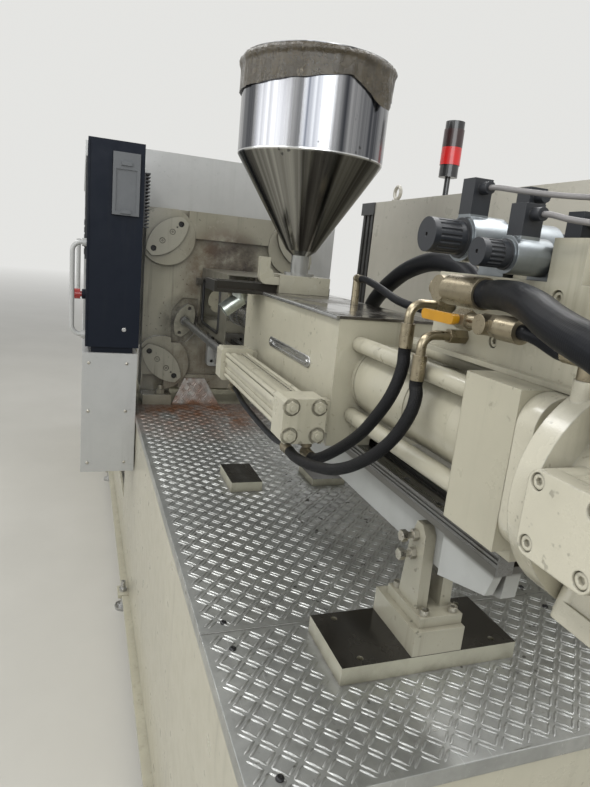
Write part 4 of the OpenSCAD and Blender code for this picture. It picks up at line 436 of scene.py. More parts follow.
def polished(name):
    """Polished sheet: upright streaks of painted reflection on the drum, a darker cone with long streaks of
    painted reflection, a painted highlight round the seam, and the clear neck under it.
    """
    t = Tree(name)
    around = t.turn_about(P(HOPPER_X, 0, 0))
    wide = t.noise(3.2, 3, 0.5, vec=around)
    fine = t.noise(13.0, 4, 0.6, vec=around)
    z = t.axis("Z")
    seam, foot = DRUM_Z / 1000, NECK_Z / 1000
    cone = t.span(z, seam + 0.0005, seam - 0.0005)
    neck = t.span(z, foot + 0.0005, foot - 0.0005)
    ring = t.math("MULTIPLY", t.span(z, seam - 0.004, seam - 0.002), t.span(z, seam + 0.004, seam + 0.002))
    # Upright streaks of painted reflection round the hopper, darker on the cone
    reflection_streaks = t.math("ADD", t.math("MULTIPLY", wide, 0.65), t.math("MULTIPLY", fine, 0.35))
    drum_col = t.mix(t.span(reflection_streaks, 0.40, 0.60), (0.052, 0.055, 0.065), (0.34, 0.34, 0.35))
    cone_col = t.mix(t.span(reflection_streaks, 0.42, 0.62), (0.055, 0.052, 0.045), (0.30, 0.295, 0.27))
    col = t.mix(cone, drum_col, cone_col)
    # Painted highlight: a thin bright band at the seam
    col = t.mix(t.math("MULTIPLY", ring, 0.7), col, (0.75, 0.75, 0.74))
    col = t.mix(neck, col, (0.33, 0.33, 0.31))
    spots = t.math("MULTIPLY", t.span(t.noise(34, 2, 0.5), 0.70, 0.73), 0.8)
    col = t.mix(spots, col, (0.05, 0.05, 0.05))
    r = t.blend(t.span(fine, 0.35, 0.65), 0.13, 0.26)
    b = t.bump(t.noise(5.0, 2, vec=around), 0.12, 0.004)
    b = t.bump(t.noise(7.0, 3), 0.06, 0.002, b)
    return t.set(color=col, rough=r, metal=t.blend(neck, 0.97, 0.45), trans=t.blend(neck, 0.0, 0.35),
                 normal=b)


def two_metals(name, below, above, z, rough_below=0.3, rough_above=0.34):
    """Two finishes on one piece, split at a height of the working frame."""
    t = Tree(name)
    up = t.span(t.axis("Z"), z / 1000 - 0.0003, z / 1000 + 0.0003)
    mottle = t.noise(55, 4, 0.6)
    grooves = t.math("SINE", t.math("MULTIPLY", t.axis("X"), 520.0))
    top = t.mix(t.span(grooves, -0.2, 0.6), scale_color(above, 0.45), above)
    low = t.mix(t.span(mottle, 0.35, 0.65), scale_color(below, 0.75), scale_color(below, 1.15))
    col = t.mix(up, low, top)
    # Grime and painted shade in the corners, from ambient occlusion
    corner_grime_and_shade = t.span(t.corners(0.02), 0.1, 0.7)
    col = t.mix(t.math("MULTIPLY", corner_grime_and_shade, 0.5), col, (0.04, 0.03, 0.02))
    b = t.bump(mottle, 0.1, 0.0004, t.rounded(0.0008, 4))
    return t.set(color=col, rough=t.blend(up, rough_below, rough_above), metal=0.8, normal=b)


def valve_parts(name):
    """Silver coils with black knurled caps and plugs, on dark bodies."""
    t = Tree(name)
    black = 0.0
    for x0, x1, crown, front, behind in VALVES:
        for lo, hi in (((x0, -400, 1600), (x1, front, 2000)), ((x0, behind, 1600), (x1, 400, 2000)),
                       ((x0, -400, crown), (x1, 400, 2000))):
            black = t.math("MAXIMUM", black, t.inside(lo, hi))
    body = t.inside((1700, -13.5, 1600), (2100, 25.5, 1712))
    mid = t.noise(18, 5, 0.6)
    col = t.mix(t.span(mid, 0.35, 0.7), (0.30, 0.325, 0.34), (0.22, 0.24, 0.255))
    col = t.mix(body, col, (0.10, 0.105, 0.11))
    col = t.mix(black, col, (0.012, 0.014, 0.018))
    # Grime and painted shade in the corners, from ambient occlusion
    corner_grime_and_shade = t.math("MULTIPLY", t.span(t.corners(0.02), 0.1, 0.7), 0.6)
    col = t.mix(corner_grime_and_shade, col, (0.03, 0.028, 0.025))
    b = t.bump(t.noise(300, 2), 0.12, 0.0003, t.rounded(0.0012, 4))
    return t.set(color=col, rough=t.blend(black, 0.30, 0.42), metal=t.blend(black, 0.85, 0.0), normal=b)


def two_faced(name, top, side):
    """A plate with an oily dark top and painted sides."""
    t = Tree(name)
    up = t.span(t.facing_up(), 0.55, 0.75)
    mid = t.noise(20, 5, 0.6)
    big = t.noise(5, 4, 0.6)
    dark = t.mix(t.span(big, 0.35, 0.65), scale_color(top, 0.7), scale_color(top, 1.5))
    pale = t.mix(t.span(mid, 0.45, 0.7, 0, 0.5), side, scale_color(side, 0.65))
    # Grime and painted shade in the corners of the painted sides, from ambient occlusion
    corner_grime_and_shade = t.math("MULTIPLY", t.span(t.corners(0.03), 0.1, 0.7), t.span(mid, 0.3, 0.6, 0.4, 1.0))
    pale = t.mix(corner_grime_and_shade, pale, (0.08, 0.07, 0.045))
    col = t.mix(up, pale, dark)
    b = t.bump(t.noise(140, 3), 0.15, 0.0004, t.rounded(0.0015, 4))
    r = t.blend(up, 0.4, t.blend(t.span(big, 0.4, 0.6), 0.18, 0.42))
    return t.set(color=col, rough=r, metal=t.blend(up, 0.0, 0.35), normal=b)


def edged_white(name):
    """The guide beam: grey-white web with a dirty upper edge, and grime and painted shade in its corners and
    under its top.
    """
    t = Tree(name)
    z = t.axis("Z")
    mid = t.noise(12, 5, 0.6)
    col = t.mix(t.span(mid, 0.4, 0.7, 0, 0.4), (0.385, 0.39, 0.37), (0.26, 0.26, 0.24))
    top = t.span(z, 1.196, 1.204)
    col = t.mix(t.math("MULTIPLY", top, 0.85), col, (0.045, 0.04, 0.03))
    # Grime and painted shade in the corners, from ambient occlusion
    corner_grime_and_shade = t.span(t.corners(0.04), 0.1, 0.7)
    col = t.mix(t.math("MULTIPLY", corner_grime_and_shade, 0.7), col, (0.06, 0.05, 0.035))
    b = t.bump(t.noise(260, 2), 0.1, 0.0003, t.rounded(0.0015, 4))
    return t.set(color=col, rough=t.blend(top, 0.36, 0.3), normal=b)


def wrapped_film(name):
    """Brown packing film: see-through, with painted highlights on its creases."""
    t = Tree(name)
    mid = t.noise(26, 5, 0.65)
    creases_and_glints = t.noise(1.0, 5, 0.75, vec=t.scaled((60, 60, 16)))
    col = t.mix(t.span(mid, 0.35, 0.65), (0.038, 0.028, 0.014), (0.066, 0.051, 0.028))
    # Painted highlights along the creases
    col = t.mix(t.span(creases_and_glints, 0.62, 0.72, 0, 0.7), col, (0.30, 0.26, 0.19))
    b = t.bump(creases_and_glints, 1.0, 0.005)
    b = t.bump(t.noise(38, 4, 0.7), 0.6, 0.003, b)
    return t.set(color=col, rough=0.09, alpha=t.span(mid, 0.3, 0.7, 0.90, 0.99), spec=0.45, coat=0.15,
                 coat_rough=0.05, normal=b)


def oily_cover(name):
    """Dark oily plate that mirrors the room, with a bright bar along its edge."""
    t = Tree(name)
    bar = t.inside((900, -140, 1500), (1600, -121.9, 1530))
    big = t.noise(7, 4, 0.6)
    mid = t.noise(30, 5, 0.65)
    col = t.mix(t.span(mid, 0.35, 0.65), (0.05, 0.045, 0.037), (0.12, 0.11, 0.095))
    col = t.mix(bar, col, (0.46, 0.46, 0.45))
    r = t.blend(t.span(big, 0.4, 0.62), 0.07, 0.34)
    b = t.bump(big, 0.05, 0.002, t.rounded(0.0008, 4))
    return t.set(color=col, rough=t.blend(bar, r, 0.26), metal=t.blend(bar, 0.62, 0.95), normal=b)


def rod_and_flange(name):
    """Dull rod, with a painted flange where it is screwed to the platen."""
    t = Tree(name)
    flange = t.span(t.axis("X"), SX - 0.0165, SX - 0.0175)
    mid = t.noise(40, 5, 0.6)
    rod = t.mix(t.span(mid, 0.35, 0.65), (0.15, 0.15, 0.147), (0.25, 0.25, 0.245))
    face = t.mix(t.span(mid, 0.4, 0.7), scale_color(CREAM, 0.62), scale_color(CREAM, 0.42))
    col = t.mix(flange, rod, face)
    # Grime and painted shade in the corners, from ambient occlusion
    corner_grime_and_shade = t.span(t.corners(0.02), 0.1, 0.7)
    col = t.mix(t.math("MULTIPLY", corner_grime_and_shade, 0.8), col, (0.03, 0.022, 0.013))
    b = t.bump(mid, 0.1, 0.0004, t.rounded(0.0015, 4))
    return t.set(color=col, rough=0.34, metal=t.blend(flange, 0.85, 0.0), normal=b)


M["stainless"] = polished("hopper_sheet")
M["oily_cover"] = oily_cover("feed_block_cover_plate")
M["rod_flange"] = rod_and_flange("traverse_rod_steel")
M["table"] = two_metals("table_and_spout", (0.42, 0.45, 0.41), (0.075, 0.07, 0.06), 1509.6)
M["valve"] = valve_parts("solenoid_parts")
M["seat"] = two_faced("seat_plate", (0.030, 0.027, 0.022), (0.36, 0.345, 0.265))
M["beam"] = edged_white("beam_paint")
M["film"] = wrapped_film("wrapped_film")
glass = Tree("pane")
M["glass"] = glass.set(color=(0.86, 0.9, 0.9), rough=0.05, trans=0.9, ior=1.3, alpha=0.45)

LOOK = {
    "machine_bed": "cream", "levelling_feet": "steel", "deck_plate_near": "deck",
    "deck_plate_far": "deck", "toe_plate": "deck", "fixed_platen": "platen",
    "tie_bars": "steel_rod", "tie_bar_covers": "cover", "clamp_cylinder_block": "cream",
    "clamp_cylinder": "cream", "clamp_guard": "white", "front_pillar": "white",
    "nozzle_guard": "guard", "electrical_cabinet": "cream_clean", "signal_tower": "tower",
    "water_regulator": "regulator", "guide_beam": "beam", "carriage_rails": "rail",
    "deck_seat_plates": "seat", "support_block": "bracket", "support_bracket": "bracket",
    "bracket_bolts": "zinc", "traverse_rods": "rod_flange", "pump_and_motor": "motor_blue",
    "control_cabinet": "navy", "control_screen": "black", "cabinet_handle": "white",
    "plug_in_module": "grey", "cabinet_heat_sink": "black", "emergency_stop": "red",
    "moving_platen": "cream", "clamp_ram": "steel_rod", "ejector_cylinder": "cream",
    "ejector_rod": "steel_rod", "front_gate": "white", "front_gate_window": "glass",
    "rear_gate": "white", "rear_gate_window": "glass", "cabinet_door": "cream_clean",
    "main_switch": "red", "feed_block": "cream", "feed_block_cover": "oily_cover",
    "injection_cylinder": "cream", "tie_columns": "cream", "rear_plate": "cream",
    "hydraulic_motor": "cast", "barrel": "steel", "heater_bands": "steel",
    "traverse_cylinders": "cream", "manifold_block": "cream", "solenoid_valves": "valve",
    "hose_fittings": "brass", "injection_piston": "steel_rod", "injection_screw": "steel",
    "hopper": "stainless", "hopper_slide": "cream_oily_and_shaded", "hopper_rails": "table",
    "ball_valve_handle": "yellow", "traverse_hoses": "hose", "manifold_hoses": "hose",
}
for name, node in N.items():
    node.data.materials.clear()
    node.data.materials.append(M[LOOK[name]])


# Mesh helpers

def make(name, bm, body, mat, smooth=None):
    """A new piece from a bmesh in row coordinates, riding on a body."""
    mesh = bpy.data.meshes.new(name)
    bm.to_mesh(mesh)
    bm.free()
    obj = bpy.data.objects.new(name, mesh)
    bpy.context.scene.collection.objects.link(obj)
    mesh.materials.append(M[mat] if isinstance(mat, str) else mat)
    if smooth is not None:
        mesh.polygons.foreach_set("use_smooth", [True] * len(mesh.polygons))
        mesh.update()
        if smooth:
            mod = obj.modifiers.new("smooth", "EDGE_SPLIT")
            mod.split_angle = math.radians(smooth)
    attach(obj, body)
    return obj


def bridge(bm, low, high):
    """Quads between two rings with as many points."""
    for k in range(len(low)):
        n = (k + 1) % len(low)
        bm.faces.new((low[k], low[n], high[n], high[k]))


def bar_pattern(x0, x1, y0, y1, z, holes=()):
    """Raised bars of chequer plate, in pairs that alternate between two directions."""
    bm = bmesh.new()
    step, length, width, height = BAR_STEP, 31.0, 5.4, 1.5
    ring = []
    for k in range(10):
        a = 2 * math.pi * k / 10
        ring.append((length / 2 * math.cos(a) * (1 - 0.06 * abs(math.sin(a))), width / 2 * math.sin(a)))
    i0, i1 = int(math.floor(x0 / step)) - 1, int(math.ceil(x1 / step)) + 1
    j0, j1 = int(math.floor(y0 / step)) - 1, int(math.ceil(y1 / step)) + 1
    for i in range(i0, i1):
        for j in range(j0, j1):
            turn = 46 if (i + j) % 2 else -46
            c, s = math.cos(math.radians(turn)), math.sin(math.radians(turn))
            for side in (-1, 1):
                cx = i * step - side * BAR_SHIFT * s
                cy = j * step + side * BAR_SHIFT * c
                if any(abs(cx - h[0]) < h[2] and abs(cy - h[1]) < h[3] for h in holes):
                    continue
                pts = [(cx + c * u - s * v, cy + s * u + c * v) for u, v in ring]
                if min(p[0] for p in pts) < x0 + 2 or max(p[0] for p in pts) > x1 - 2:
                    continue
                if min(p[1] for p in pts) < y0 + 2 or max(p[1] for p in pts) > y1 - 2:
                    continue
                low = [bm.verts.new(P(px, py, z)) for px, py in pts]
                top = [bm.verts.new(P(cx + (px - cx) * 0.72, cy + (py - cy) * 0.62, z + height))
                       for px, py in pts]
                bridge(bm, low, top)
                bm.faces.new(top)
    return bm


seats = [(1772, -20, 84, 186), (943, -146, 86, 54), (935, 129, 72, 62)]
make("deck_bars_near", bar_pattern(1668, 2036, -402, 402, DECK_Z, seats), "frame", "deck", smooth=60)
make("deck_bars_far", bar_pattern(4, 1666, -402, 402, DECK_Z, seats), "frame", "deck", smooth=60)

# Hoses and cables

def smooth_path(points, steps=6):
    """A Catmull-Rom curve through the points of a route, in row coordinates."""
    pts = [P(*p) for p in points]
    pts = [2 * pts[0] - pts[1]] + pts + [2 * pts[-1] - pts[-2]]
    path = []
    for i in range(1, len(pts) - 2):
        a, b, c, d = pts[i - 1:i + 3]
        for k in range(steps):
            t = k / steps
            path.append(0.5 * ((2 * b) + (c - a) * t + (2 * a - 5 * b + 4 * c - d) * t * t
                               + (3 * b - 3 * c + d - a) * t ** 3))
    path.append(pts[-2])
    return path


def hose(name, points, radius, body, mat, nodes=()):
    """A hose swept along its route, with U round it and V along it for the skin."""
    path = smooth_path(points)
    sides = 20
    bm = bmesh.new()
    uv = bm.loops.layers.uv.new("UVMap")
    side = None
    rings, along, run = [], [], 0.0
    for i, p in enumerate(path):
        t = (path[min(i + 1, len(path) - 1)] - path[max(i - 1, 0)]).normalized()
        if side is None:
            side = t.orthogonal().normalized()
        side = (side - t * side.dot(t)).normalized()
        other = t.cross(side)
        if i:
            run += (p - path[i - 1]).length
        along.append(run)
        rings.append([bm.verts.new(p + radius / 1000 * (math.cos(a) * side + math.sin(a) * other))
                      for a in (2 * math.pi * k / sides for k in range(sides))])
    for i in range(len(rings) - 1):
        for k in range(sides):
            n = (k + 1) % sides
            face = bm.faces.new((rings[i][k], rings[i][n], rings[i + 1][n], rings[i + 1][k]))
            corners = ((k, i), (k + 1, i), (k + 1, i + 1), (k, i + 1))
            for loop, (a, b) in zip(face.loops, corners):
                loop[uv].uv = (a / sides, along[b])
    bm.faces.new(list(reversed(rings[0])))
    bm.faces.new(rings[-1])
    bmesh.ops.recalc_face_normals(bm, faces=bm.faces)
    piece = make(name, bm, body, mat, smooth=50)
    for node in nodes:
        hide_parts(node)
    return piece


HOSE_1 = [(1737, -99, 1494.5), (1737, -99, 1483), (1743, -102, 1466), (1746, -110, 1436),
          (1742, -120, 1405), (1728, -130, 1373), (1703, -140, 1336), (1672, -149, 1305),
          (1636, -158, 1276), (1600, -166, 1251), (1576, -171, 1238), (1562, -172, 1232.5),
          (1551, -172, 1232)]
HOSE_2 = [(1788, -99, 1449.5), (1788, -99, 1439), (1796, -101, 1427), (1801, -107, 1406),
          (1798, -116, 1379), (1787, -127, 1349), (1769, -140, 1321), (1740, -152, 1293),
          (1707, -164, 1269), (1668, -176, 1250), (1629, -188, 1240), (1590, -198, 1234),
          (1550, -206, 1232), (1514, -206, 1232)]
BRANCH_PIPE = [(1471, -206, 1232), (1456, -206, 1232), (1432, -206, 1228), (1396, -206, 1224),
               (1300, -204, 1221), (1197, -202, 1222), (1083, -198, 1224), (1000, -191, 1229),
               (966, -189, 1231), (951, -189, 1231)]
BIG_HOSE = [(1884.5, -66, 1602), (1902, -66, 1602), (1934, -76, 1604.5), (1998, -101, 1604),
            (2068, -132, 1597), (2109, -147, 1588), (2147, -158, 1580.5), (2175, -163, 1575),
            (2204, -162, 1566), (2234, -158, 1551), (2259, -153, 1530), (2278, -149, 1504),
            (2291, -147, 1474), (2297, -146, 1443), (2297, -146, 1402)]
LOOP_HOSE = [(1664.5, 100, 1602), (1650, 100, 1602), (1628, 100, 1611), (1600, 100, 1628),
             (1558, 101, 1641), (1478, 105, 1647), (1400, 112, 1638), (1314, 121, 1617),
             (1236, 131, 1588), (1170, 142, 1560), (1120, 152, 1536), (1078, 162, 1510),
             (1036, 172, 1482), (996, 180, 1454), (960, 186, 1428), (930, 189, 1404),
             (916, 189, 1381), (916, 189, 1362.5)]
DRAIN_HOSE = [(2015.5, -100, 1564), (2028, -100, 1564), (2041, -94, 1560), (2051, -86, 1553.5),
              (2060, -81, 1549), (2066, -80, 1548), (2071.5, -80, 1548)]
COOLING_HOSE = [(1205, 60, 1587), (1222, 60, 1587), (1250, 58, 1585), (1310, 52, 1577),
                (1380, 44, 1566), (1440, 36, 1557), (1500, 30, 1552), (1560, 30, 1550),
                (1620, 30, 1550), (1664.5, 30, 1550)]
hose("traverse_hose_1", HOSE_1, 11, "carriage", "braid", ["traverse_hoses"])
hose("traverse_hose_2", HOSE_2, 11, "carriage", "braid", ["traverse_hoses"])
hose("branch_hose", BRANCH_PIPE, 7, "carriage", "hose", ["traverse_hoses"])
hose("pressure_hose", BIG_HOSE, 21, "carriage", "hose", ["manifold_hoses"])
hose("return_hose", LOOP_HOSE, 21, "carriage", "hose", ["manifold_hoses"])
hose("drain_hose", DRAIN_HOSE, 10, "carriage", "hose", ["manifold_hoses"])
hose("cooling_hose", COOLING_HOSE, 9, "carriage", "hose", ["manifold_hoses"])

CABLE_1 = [(1851.5, -62, 1753), (1868, -60, 1752), (1896, -40, 1748), (1925, -10, 1745),
           (1955, 20, 1744), (1983, 45, 1745), (2003, 58, 1741), (2012, 62, 1732),
           (2013, 63, 1720.5)]
CABLE_2 = [(1958.5, -51, 1714), (1974, -50.5, 1712.5), (2000, -46, 1707), (2030, -32, 1703),
           (2058, -8, 1702), (2076, 24, 1703), (2080, 54, 1700), (2068, 76, 1695),
           (2047.5, 80, 1692)]
hose("valve_cable_1", CABLE_1, 4, "carriage", "cable")
hose("valve_cable_2", CABLE_2, 4, "carriage", "cable")


# Film round the hopper's rim

def film(name):
    """Packing film over the hopper, its skirt ruffled and drooping further on one side."""
    rng = random.Random(7)
    top_z, base_r = 2149.0, 214.2
    around, rows = 240, 18
    droop = [(-180, 2072), (-140, 2064), (-88, 2060), (-55, 2062), (-29, 2069), (-18, 2077),
             (-6, 2085), (4, 2087), (11, 2075), (20, 2058), (30, 2040), (37, 2029), (41, 2036),
             (46, 2064), (70, 2078), (110, 2066), (150, 2074), (180, 2072)]
    waves = [(rng.randint(9, 60), rng.uniform(0, 6.28), rng.uniform(0.4, 1.0)) for _ in range(14)]

    def edge(a):
        for (a0, z0), (a1, z1) in zip(droop, droop[1:]):
            if a0 <= a <= a1:
                return z0 + (z1 - z0) * (a - a0) / (a1 - a0)
        return droop[0][1]

    def fold(turn, v):
        out = 0.0
        for n, phase, size in waves:
            out += size * math.sin(n * turn + phase + 2.2 * v * math.sin(n * 0.7 + phase))
        return abs(out) / 14 ** 0.5

    bm = bmesh.new()
    grid = []
    for j in range(rows + 1):
        v = j / rows
        row = []
        for i in range(around):
            deg = -180 + 360 * i / around
            turn = math.radians(deg)
            low = edge(deg) + 1.2 * math.sin(7 * turn) + 0.8 * math.sin(19 * turn + 1)
            bulge = 4.5 * math.exp(-((v - 0.14) / 0.10) ** 2) + (4.5 - 1.5 * v) * fold(turn, v)
            tail = 16 * v * math.exp(-((deg - 38) / 7.0) ** 2)
            radius = base_r + bulge + tail
            sag = 4.0 * (fold(turn + 1.0, 0.0) - 0.4) * (1 - v)
            row.append(bm.verts.new(P(HOPPER_X + radius * math.cos(turn), radius * math.sin(turn),
                                      min(top_z, top_z - 2.5 - (top_z - low) * v - max(0.0, sag)))))
        grid.append(row)
    for j in range(rows):
        for i in range(around):
            n = (i + 1) % around
            bm.faces.new((grid[j][i], grid[j + 1][i], grid[j + 1][n], grid[j][n]))
    # Part over the opening, which sags toward the middle
    last = grid[0]
    for share in (0.985, 0.9, 0.75, 0.55, 0.35, 0.15):
        ring = []
        for i in range(around):
            turn = math.radians(-180 + 360 * i / around)
            radius = base_r * share
            z = top_z - 0.4
            if share < 0.98:
                z = top_z - 1.0 - 12.0 * (1 - share ** 2) - 1.5 * fold(turn, 0.0) * share
            ring.append(bm.verts.new(P(HOPPER_X + radius * math.cos(turn), radius * math.sin(turn), z)))
        bridge(bm, last, ring)
        last = ring
    bm.faces.new(last)
    bmesh.ops.recalc_face_normals(bm, faces=bm.faces)
    piece = make(name, bm, "hopper", "film", smooth=75)
    return piece


film("hopper_film")


# Small fastenings and trims

def lathe(bm, at, axis, profile, sides=20):
    """Turned form about an axis through a point of the working frame; profile is (height, radius), in mm."""
    axis = Vector(axis).normalized()
    u = axis.orthogonal().normalized()
    v = axis.cross(u)
    centre = P(*at)
    rings = []
    for h, radius in profile:
        rings.append([bm.verts.new(centre + axis * (h / 1000)
                                   + (math.cos(a) * u + math.sin(a) * v) * (radius / 1000))
                      for a in (2 * math.pi * k / sides for k in range(sides))])
    for low, high in zip(rings, rings[1:]):
        bridge(bm, low, high)
    bm.faces.new(list(reversed(rings[0])))
    bm.faces.new(rings[-1])


def pan_head(bm, at, axis, r):
    """Button head with a recess in its crown."""
    lathe(bm, at, axis, [(0, r), (r * 0.25, r), (r * 0.5, r * 0.82), (r * 0.6, r * 0.45),
                         (r * 0.6, r * 0.4), (r * 0.3, r * 0.34)])


def screws(name, body, places, axis, r, mat):
    bm = bmesh.new()
    for at in places:
        pan_head(bm, at, axis, r)
    bmesh.ops.recalc_face_normals(bm, faces=bm.faces)
    return make(name, bm, body, mat, smooth=40)


screws("deck_screws", "frame", [(x, y, DECK_Z) for x in (1639, 1718, 1998) for y in (-354, 354)], (0, 0, 1),
       6.5, "black_screw")
screws("pillar_screws", "frame", [(200, y, z) for y in (-589, -444.6) for z in (728, 947, 1144)], (1, 0, 0),
       6.0, "zinc")


def loop_trim(name, outline, radius, body, mat):
    """A round cord of rubber or metal laid along a closed outline in the working frame."""
    bm = bmesh.new()
    pts = [P(*p) for p in outline]
    sides, count = 8, len(pts)
    across = Vector((0, 1, 0))
    rings = []
    for i, p in enumerate(pts):
        t = (pts[(i + 1) % count] - pts[i - 1]).normalized()
        side = t.cross(across).normalized()
        rings.append([bm.verts.new(p + radius / 1000 * (math.cos(a) * side + math.sin(a) * across))
                      for a in (2 * math.pi * k / sides for k in range(sides))])
    for i in range(count):
        bridge(bm, rings[i], rings[(i + 1) % count])
    bmesh.ops.recalc_face_normals(bm, faces=bm.faces)
    return make(name, bm, body, mat, smooth=60)


def round_outline(cx, cz, w, h, r, y, steps=8):
    """A rectangle with round corners in X and Z, at one Y."""
    pts = []
    for sx, sz, start in ((1, 1, 0), (-1, 1, 90), (-1, -1, 180), (1, -1, 270)):
        for k in range(steps + 1):
            a = math.radians(start + 90 * k / steps)
            pts.append((cx + sx * (w / 2 - r) + r * math.cos(a), y,
                        cz + sz * (h / 2 - r) + r * math.sin(a)))
    return pts


for side, y in (("front", -125.0), ("rear", 125.0)):
    loop_trim("window_seal_" + side, round_outline(218, 1403, 336, 186, 25, y), 6.5, "frame", "seal")


def slotted_plate(name):
    """Bare oblong plate on the feed block's side, with a long groove and a screw at each end."""
    x0, x1, z, half, y = 1040.0, 1362.0, 1392.0, 13.5, -120.0
    bm = bmesh.new()

    def stadium(h, a, b, depth):
        pts = []
        for k in range(13):
            t = math.radians(90 + 180 * k / 12)
            pts.append(P(a + h + h * math.cos(t), y - depth, z + h * math.sin(t)))
        for k in range(13):
            t = math.radians(-90 + 180 * k / 12)
            pts.append(P(b - h + h * math.cos(t), y - depth, z + h * math.sin(t)))
        return [bm.verts.new(p) for p in pts]

    rings = [stadium(half, x0, x1, 0.0), stadium(half, x0, x1, 1.8),
             stadium(half - 1.2, x0 + 1.2, x1 - 1.2, 3.0),
             stadium(half - 7.5, x0 + 34, x1 - 34, 3.0), stadium(half - 8.0, x0 + 34.5, x1 - 34.5, 0.9)]
    for low, high in zip(rings, rings[1:]):
        bridge(bm, low, high)
    bm.faces.new(rings[-1])
    bm.faces.new(list(reversed(rings[0])))
    for x in (x0 + 17, x1 - 17):
        pan_head(bm, (x, y - 3.0, z), (0, -1, 0), 5.5)
    bmesh.ops.recalc_face_normals(bm, faces=bm.faces)
    return make(name, bm, "carriage", "steel", smooth=35)


slotted_plate("feed_block_plate")


def lever(bm, at, length, turn, r=3.2):
    """Small handle of a regulator valve: a hub and a bar across it."""
    lathe(bm, at, (0, -1, 0), [(0, 6), (7, 6), (9, 4)], 14)
    c, s = math.cos(math.radians(turn)), math.sin(math.radians(turn))
    for side in (-1, 1):
        x, y, z = at
        lathe(bm, (x, y - 5, z), (side * c, 0, side * s),
              [(0, r), (length, r * 0.8), (length + 1.5, r * 0.4)], 10)


for color, turn in (("red", 55), ("red", -35), ("yellow", 40)):
    bm = bmesh.new()
    lever(bm, (ECAB_X - 108 + 36 + (34 if color == "yellow" else 0), ECAB_Y - 22, 1358), 11, turn)
    bmesh.ops.recalc_face_normals(bm, faces=bm.faces)
    make("regulator_handle_%s_%d" % (color, abs(turn)), bm, "frame", color, smooth=40)

# Dark discs at the bottom of the counterbores in the tie bar covers
bm = bmesh.new()
for sy in (-1, 1):
    for sz in (-1, 1):
        turn = math.radians(-sy * sz * 44)
        for t in (-77, 77):
            y, z = sy * TIE_Y + t * math.cos(turn), AXIS_Z + sz * TIE_Z + t * math.sin(turn)
            lathe(bm, (0.2, y, z), (1, 0, 0),
                  [(0, 11.6), (5.5, 11.6), (6.0, 8.6), (5.9, 4.8), (3.0, 4.6)], 18)
bmesh.ops.recalc_face_normals(bm, faces=bm.faces)
make("cover_socket_screws", bm, "frame", "black_screw", smooth=40)

# Black shapes along the top of the near traverse cylinder, painted shade for the hollows of its slots
bm = bmesh.new()
for k in range(27):
    x, y, z = 975 + 17.5 * k, -TRAV_Y + 9, TRAV_Z + 35
    at = [P(x + a, y + b, z + 0.05)
          for a, b in ((-4.6, -2), (4.6, -2), (6.2, 0), (4.6, 2), (-4.6, 2), (-6.2, 0))]
    low = [bm.verts.new(p) for p in at]
    top = [bm.verts.new(p + Vector((0, 0, 0.0005))) for p in at]
    bridge(bm, low, top)
    bm.faces.new(top)
    bm.faces.new(list(reversed(low)))
bmesh.ops.recalc_face_normals(bm, faces=bm.faces)
make("cylinder_slot_shade", bm, "carriage", "seal", smooth=20)

# Raised bars on the sloping toe plate
bm = bmesh.new()
for i in range(-6, 7):
    for j in range(5):
        y, h = TOE_Y + BAR_STEP * i, 14 + BAR_STEP * j
        half = 104 - (104 - 42) * h / TOE_RISE
        if abs(y - TOE_Y) > half - 14 or h > 104:
            continue
        turn = math.radians(46 if (i + j) % 2 else -46)
        for side in (-1, 1):
            cy, cz = y - side * BAR_SHIFT * math.sin(turn), h + side * BAR_SHIFT * math.cos(turn)
            ring = []
            for k in range(10):
                a = 2 * math.pi * k / 10
                u, w = 15.0 * math.cos(a), 2.6 * math.sin(a)
                ring.append((cy + u * math.cos(turn) - w * math.sin(turn),
                             cz + u * math.sin(turn) + w * math.cos(turn)))
            low = [bm.verts.new(P(15.1 - TOE_RUN * zz / TOE_RISE, yy, DECK_Z + 0.1 + zz))
                   for yy, zz in ring]
            crown = [(cy + (yy - cy) * 0.7, cz + (zz - cz) * 0.7) for yy, zz in ring]
            top = [bm.verts.new(P(16.7 - TOE_RUN * zz / TOE_RISE, yy, DECK_Z + 0.1 + zz))
                   for yy, zz in crown]
            bridge(bm, low, top)
            bm.faces.new(top)
bmesh.ops.recalc_face_normals(bm, faces=bm.faces)
make("toe_plate_bars", bm, "frame", "deck", smooth=60)

# Key lock of the control cabinet
bm = bmesh.new()
lathe(bm, (196.5, -460, 1280), (1, 0, 0), [(0, 8.5), (5, 8.5), (6, 7.5), (6.2, 3.0), (3.5, 2.6)], 20)
bmesh.ops.recalc_face_normals(bm, faces=bm.faces)
make("key_lock", bm, "control_cabinet", "steel", smooth=40)

# Floor and light
bpy.ops.mesh.primitive_plane_add(size=400, location=(0, 0, -0.0005))
floor = bpy.context.object
floor.name = "floor"
ft = Tree("floor")
fcol = ft.mix(ft.span(ft.noise(0.9, 5, 0.6), 0.3, 0.7), (0.50, 0.482, 0.43), (0.56, 0.54, 0.485))
floor.data.materials.append(ft.set(color=fcol, rough=0.55))
far = ft.add("ShaderNodeVectorMath", operation="LENGTH")
ft.link(ft.co, far.inputs[0])
haze = ft.add("ShaderNodeEmission")
haze.inputs[0].default_value = (0.78, 0.78, 0.76, 1)
fade = ft.add("ShaderNodeMixShader")
ft.link(ft.span(far.outputs["Value"], 5.0, 26.0), fade.inputs[0])
ft.link(ft.bsdf.outputs[0], fade.inputs[1])
ft.link(haze.outputs[0], fade.inputs[2])
ft.link(fade.outputs[0], ft.out.inputs[0])

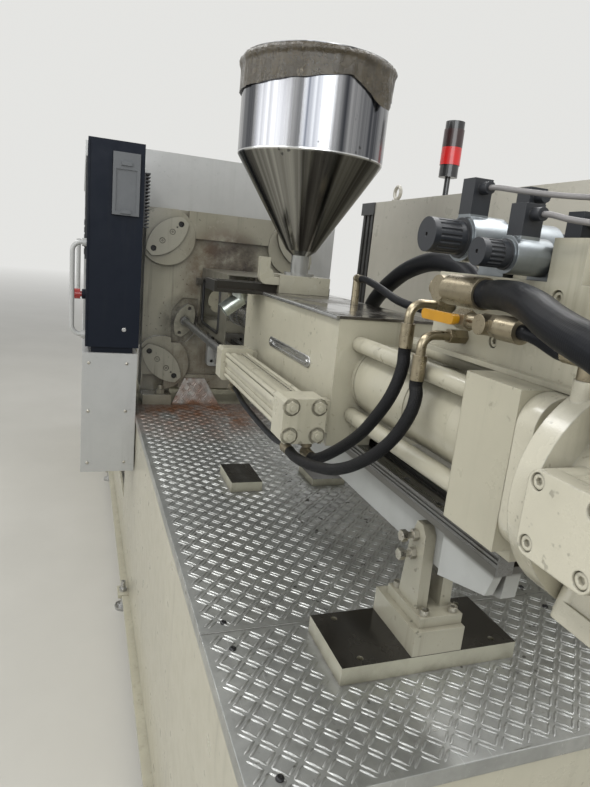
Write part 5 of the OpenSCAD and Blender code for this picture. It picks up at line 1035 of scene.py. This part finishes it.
world = bpy.data.worlds.new("world")
bpy.context.scene.world = world
world.use_nodes = True
wn = world.node_tree
wn.nodes.clear()
wout = wn.nodes.new("ShaderNodeOutputWorld")
w_light = wn.nodes.new("ShaderNodeBackground")
w_light.inputs[0].default_value = (0.93, 0.96, 1.0, 1)
w_light.inputs[1].default_value = 0.34
w_seen = wn.nodes.new("ShaderNodeBackground")
w_seen.inputs[0].default_value = (0.78, 0.78, 0.76, 1)
w_seen.inputs[1].default_value = 1.0
w_mix = wn.nodes.new("ShaderNodeMixShader")
w_path = wn.nodes.new("ShaderNodeLightPath")
seen = w_path.outputs["Is Camera Ray"]
for ray in ("Is Glossy Ray", "Is Transmission Ray"):
    either = wn.nodes.new("ShaderNodeMath")
    either.operation = "MAXIMUM"
    wn.links.new(seen, either.inputs[0])
    wn.links.new(w_path.outputs[ray], either.inputs[1])
    seen = either.outputs[0]
wn.links.new(seen, w_mix.inputs[0])
wn.links.new(w_light.outputs[0], w_mix.inputs[1])
wn.links.new(w_seen.outputs[0], w_mix.inputs[2])
wn.links.new(w_mix.outputs[0], wout.inputs[0])


def area(name, at, aim, size, power, color=(1, 1, 1)):
    light = bpy.data.lights.new(name, "AREA")
    light.shape = "RECTANGLE"
    light.size, light.size_y = size
    light.energy = power
    light.color = color
    obj = bpy.data.objects.new(name, light)
    bpy.context.scene.collection.objects.link(obj)
    obj.location = at
    obj.rotation_euler = (Vector(aim) - Vector(at)).to_track_quat("-Z", "Y").to_euler()
    return obj


area("roof_strip_1", (0.5, -2.6, 5.2), (0.5, -0.4, 0.8), (9, 0.8), 170)
area("roof_strip_2", (0.5, 2.4, 5.4), (0.5, 0.4, 0.8), (9, 0.9), 185)
area("end_window", (6.5, -1.5, 3.4), (1.0, 0.0, 1.0), (4.5, 2.2), 140, (0.95, 0.98, 1.0))
area("left_window", (1.5, -6.5, 3.0), (1.0, 0.0, 1.0), (7, 2.0), 135, (0.96, 0.98, 1.0))

scene = bpy.context.scene
scene.view_settings.view_transform = "Standard"
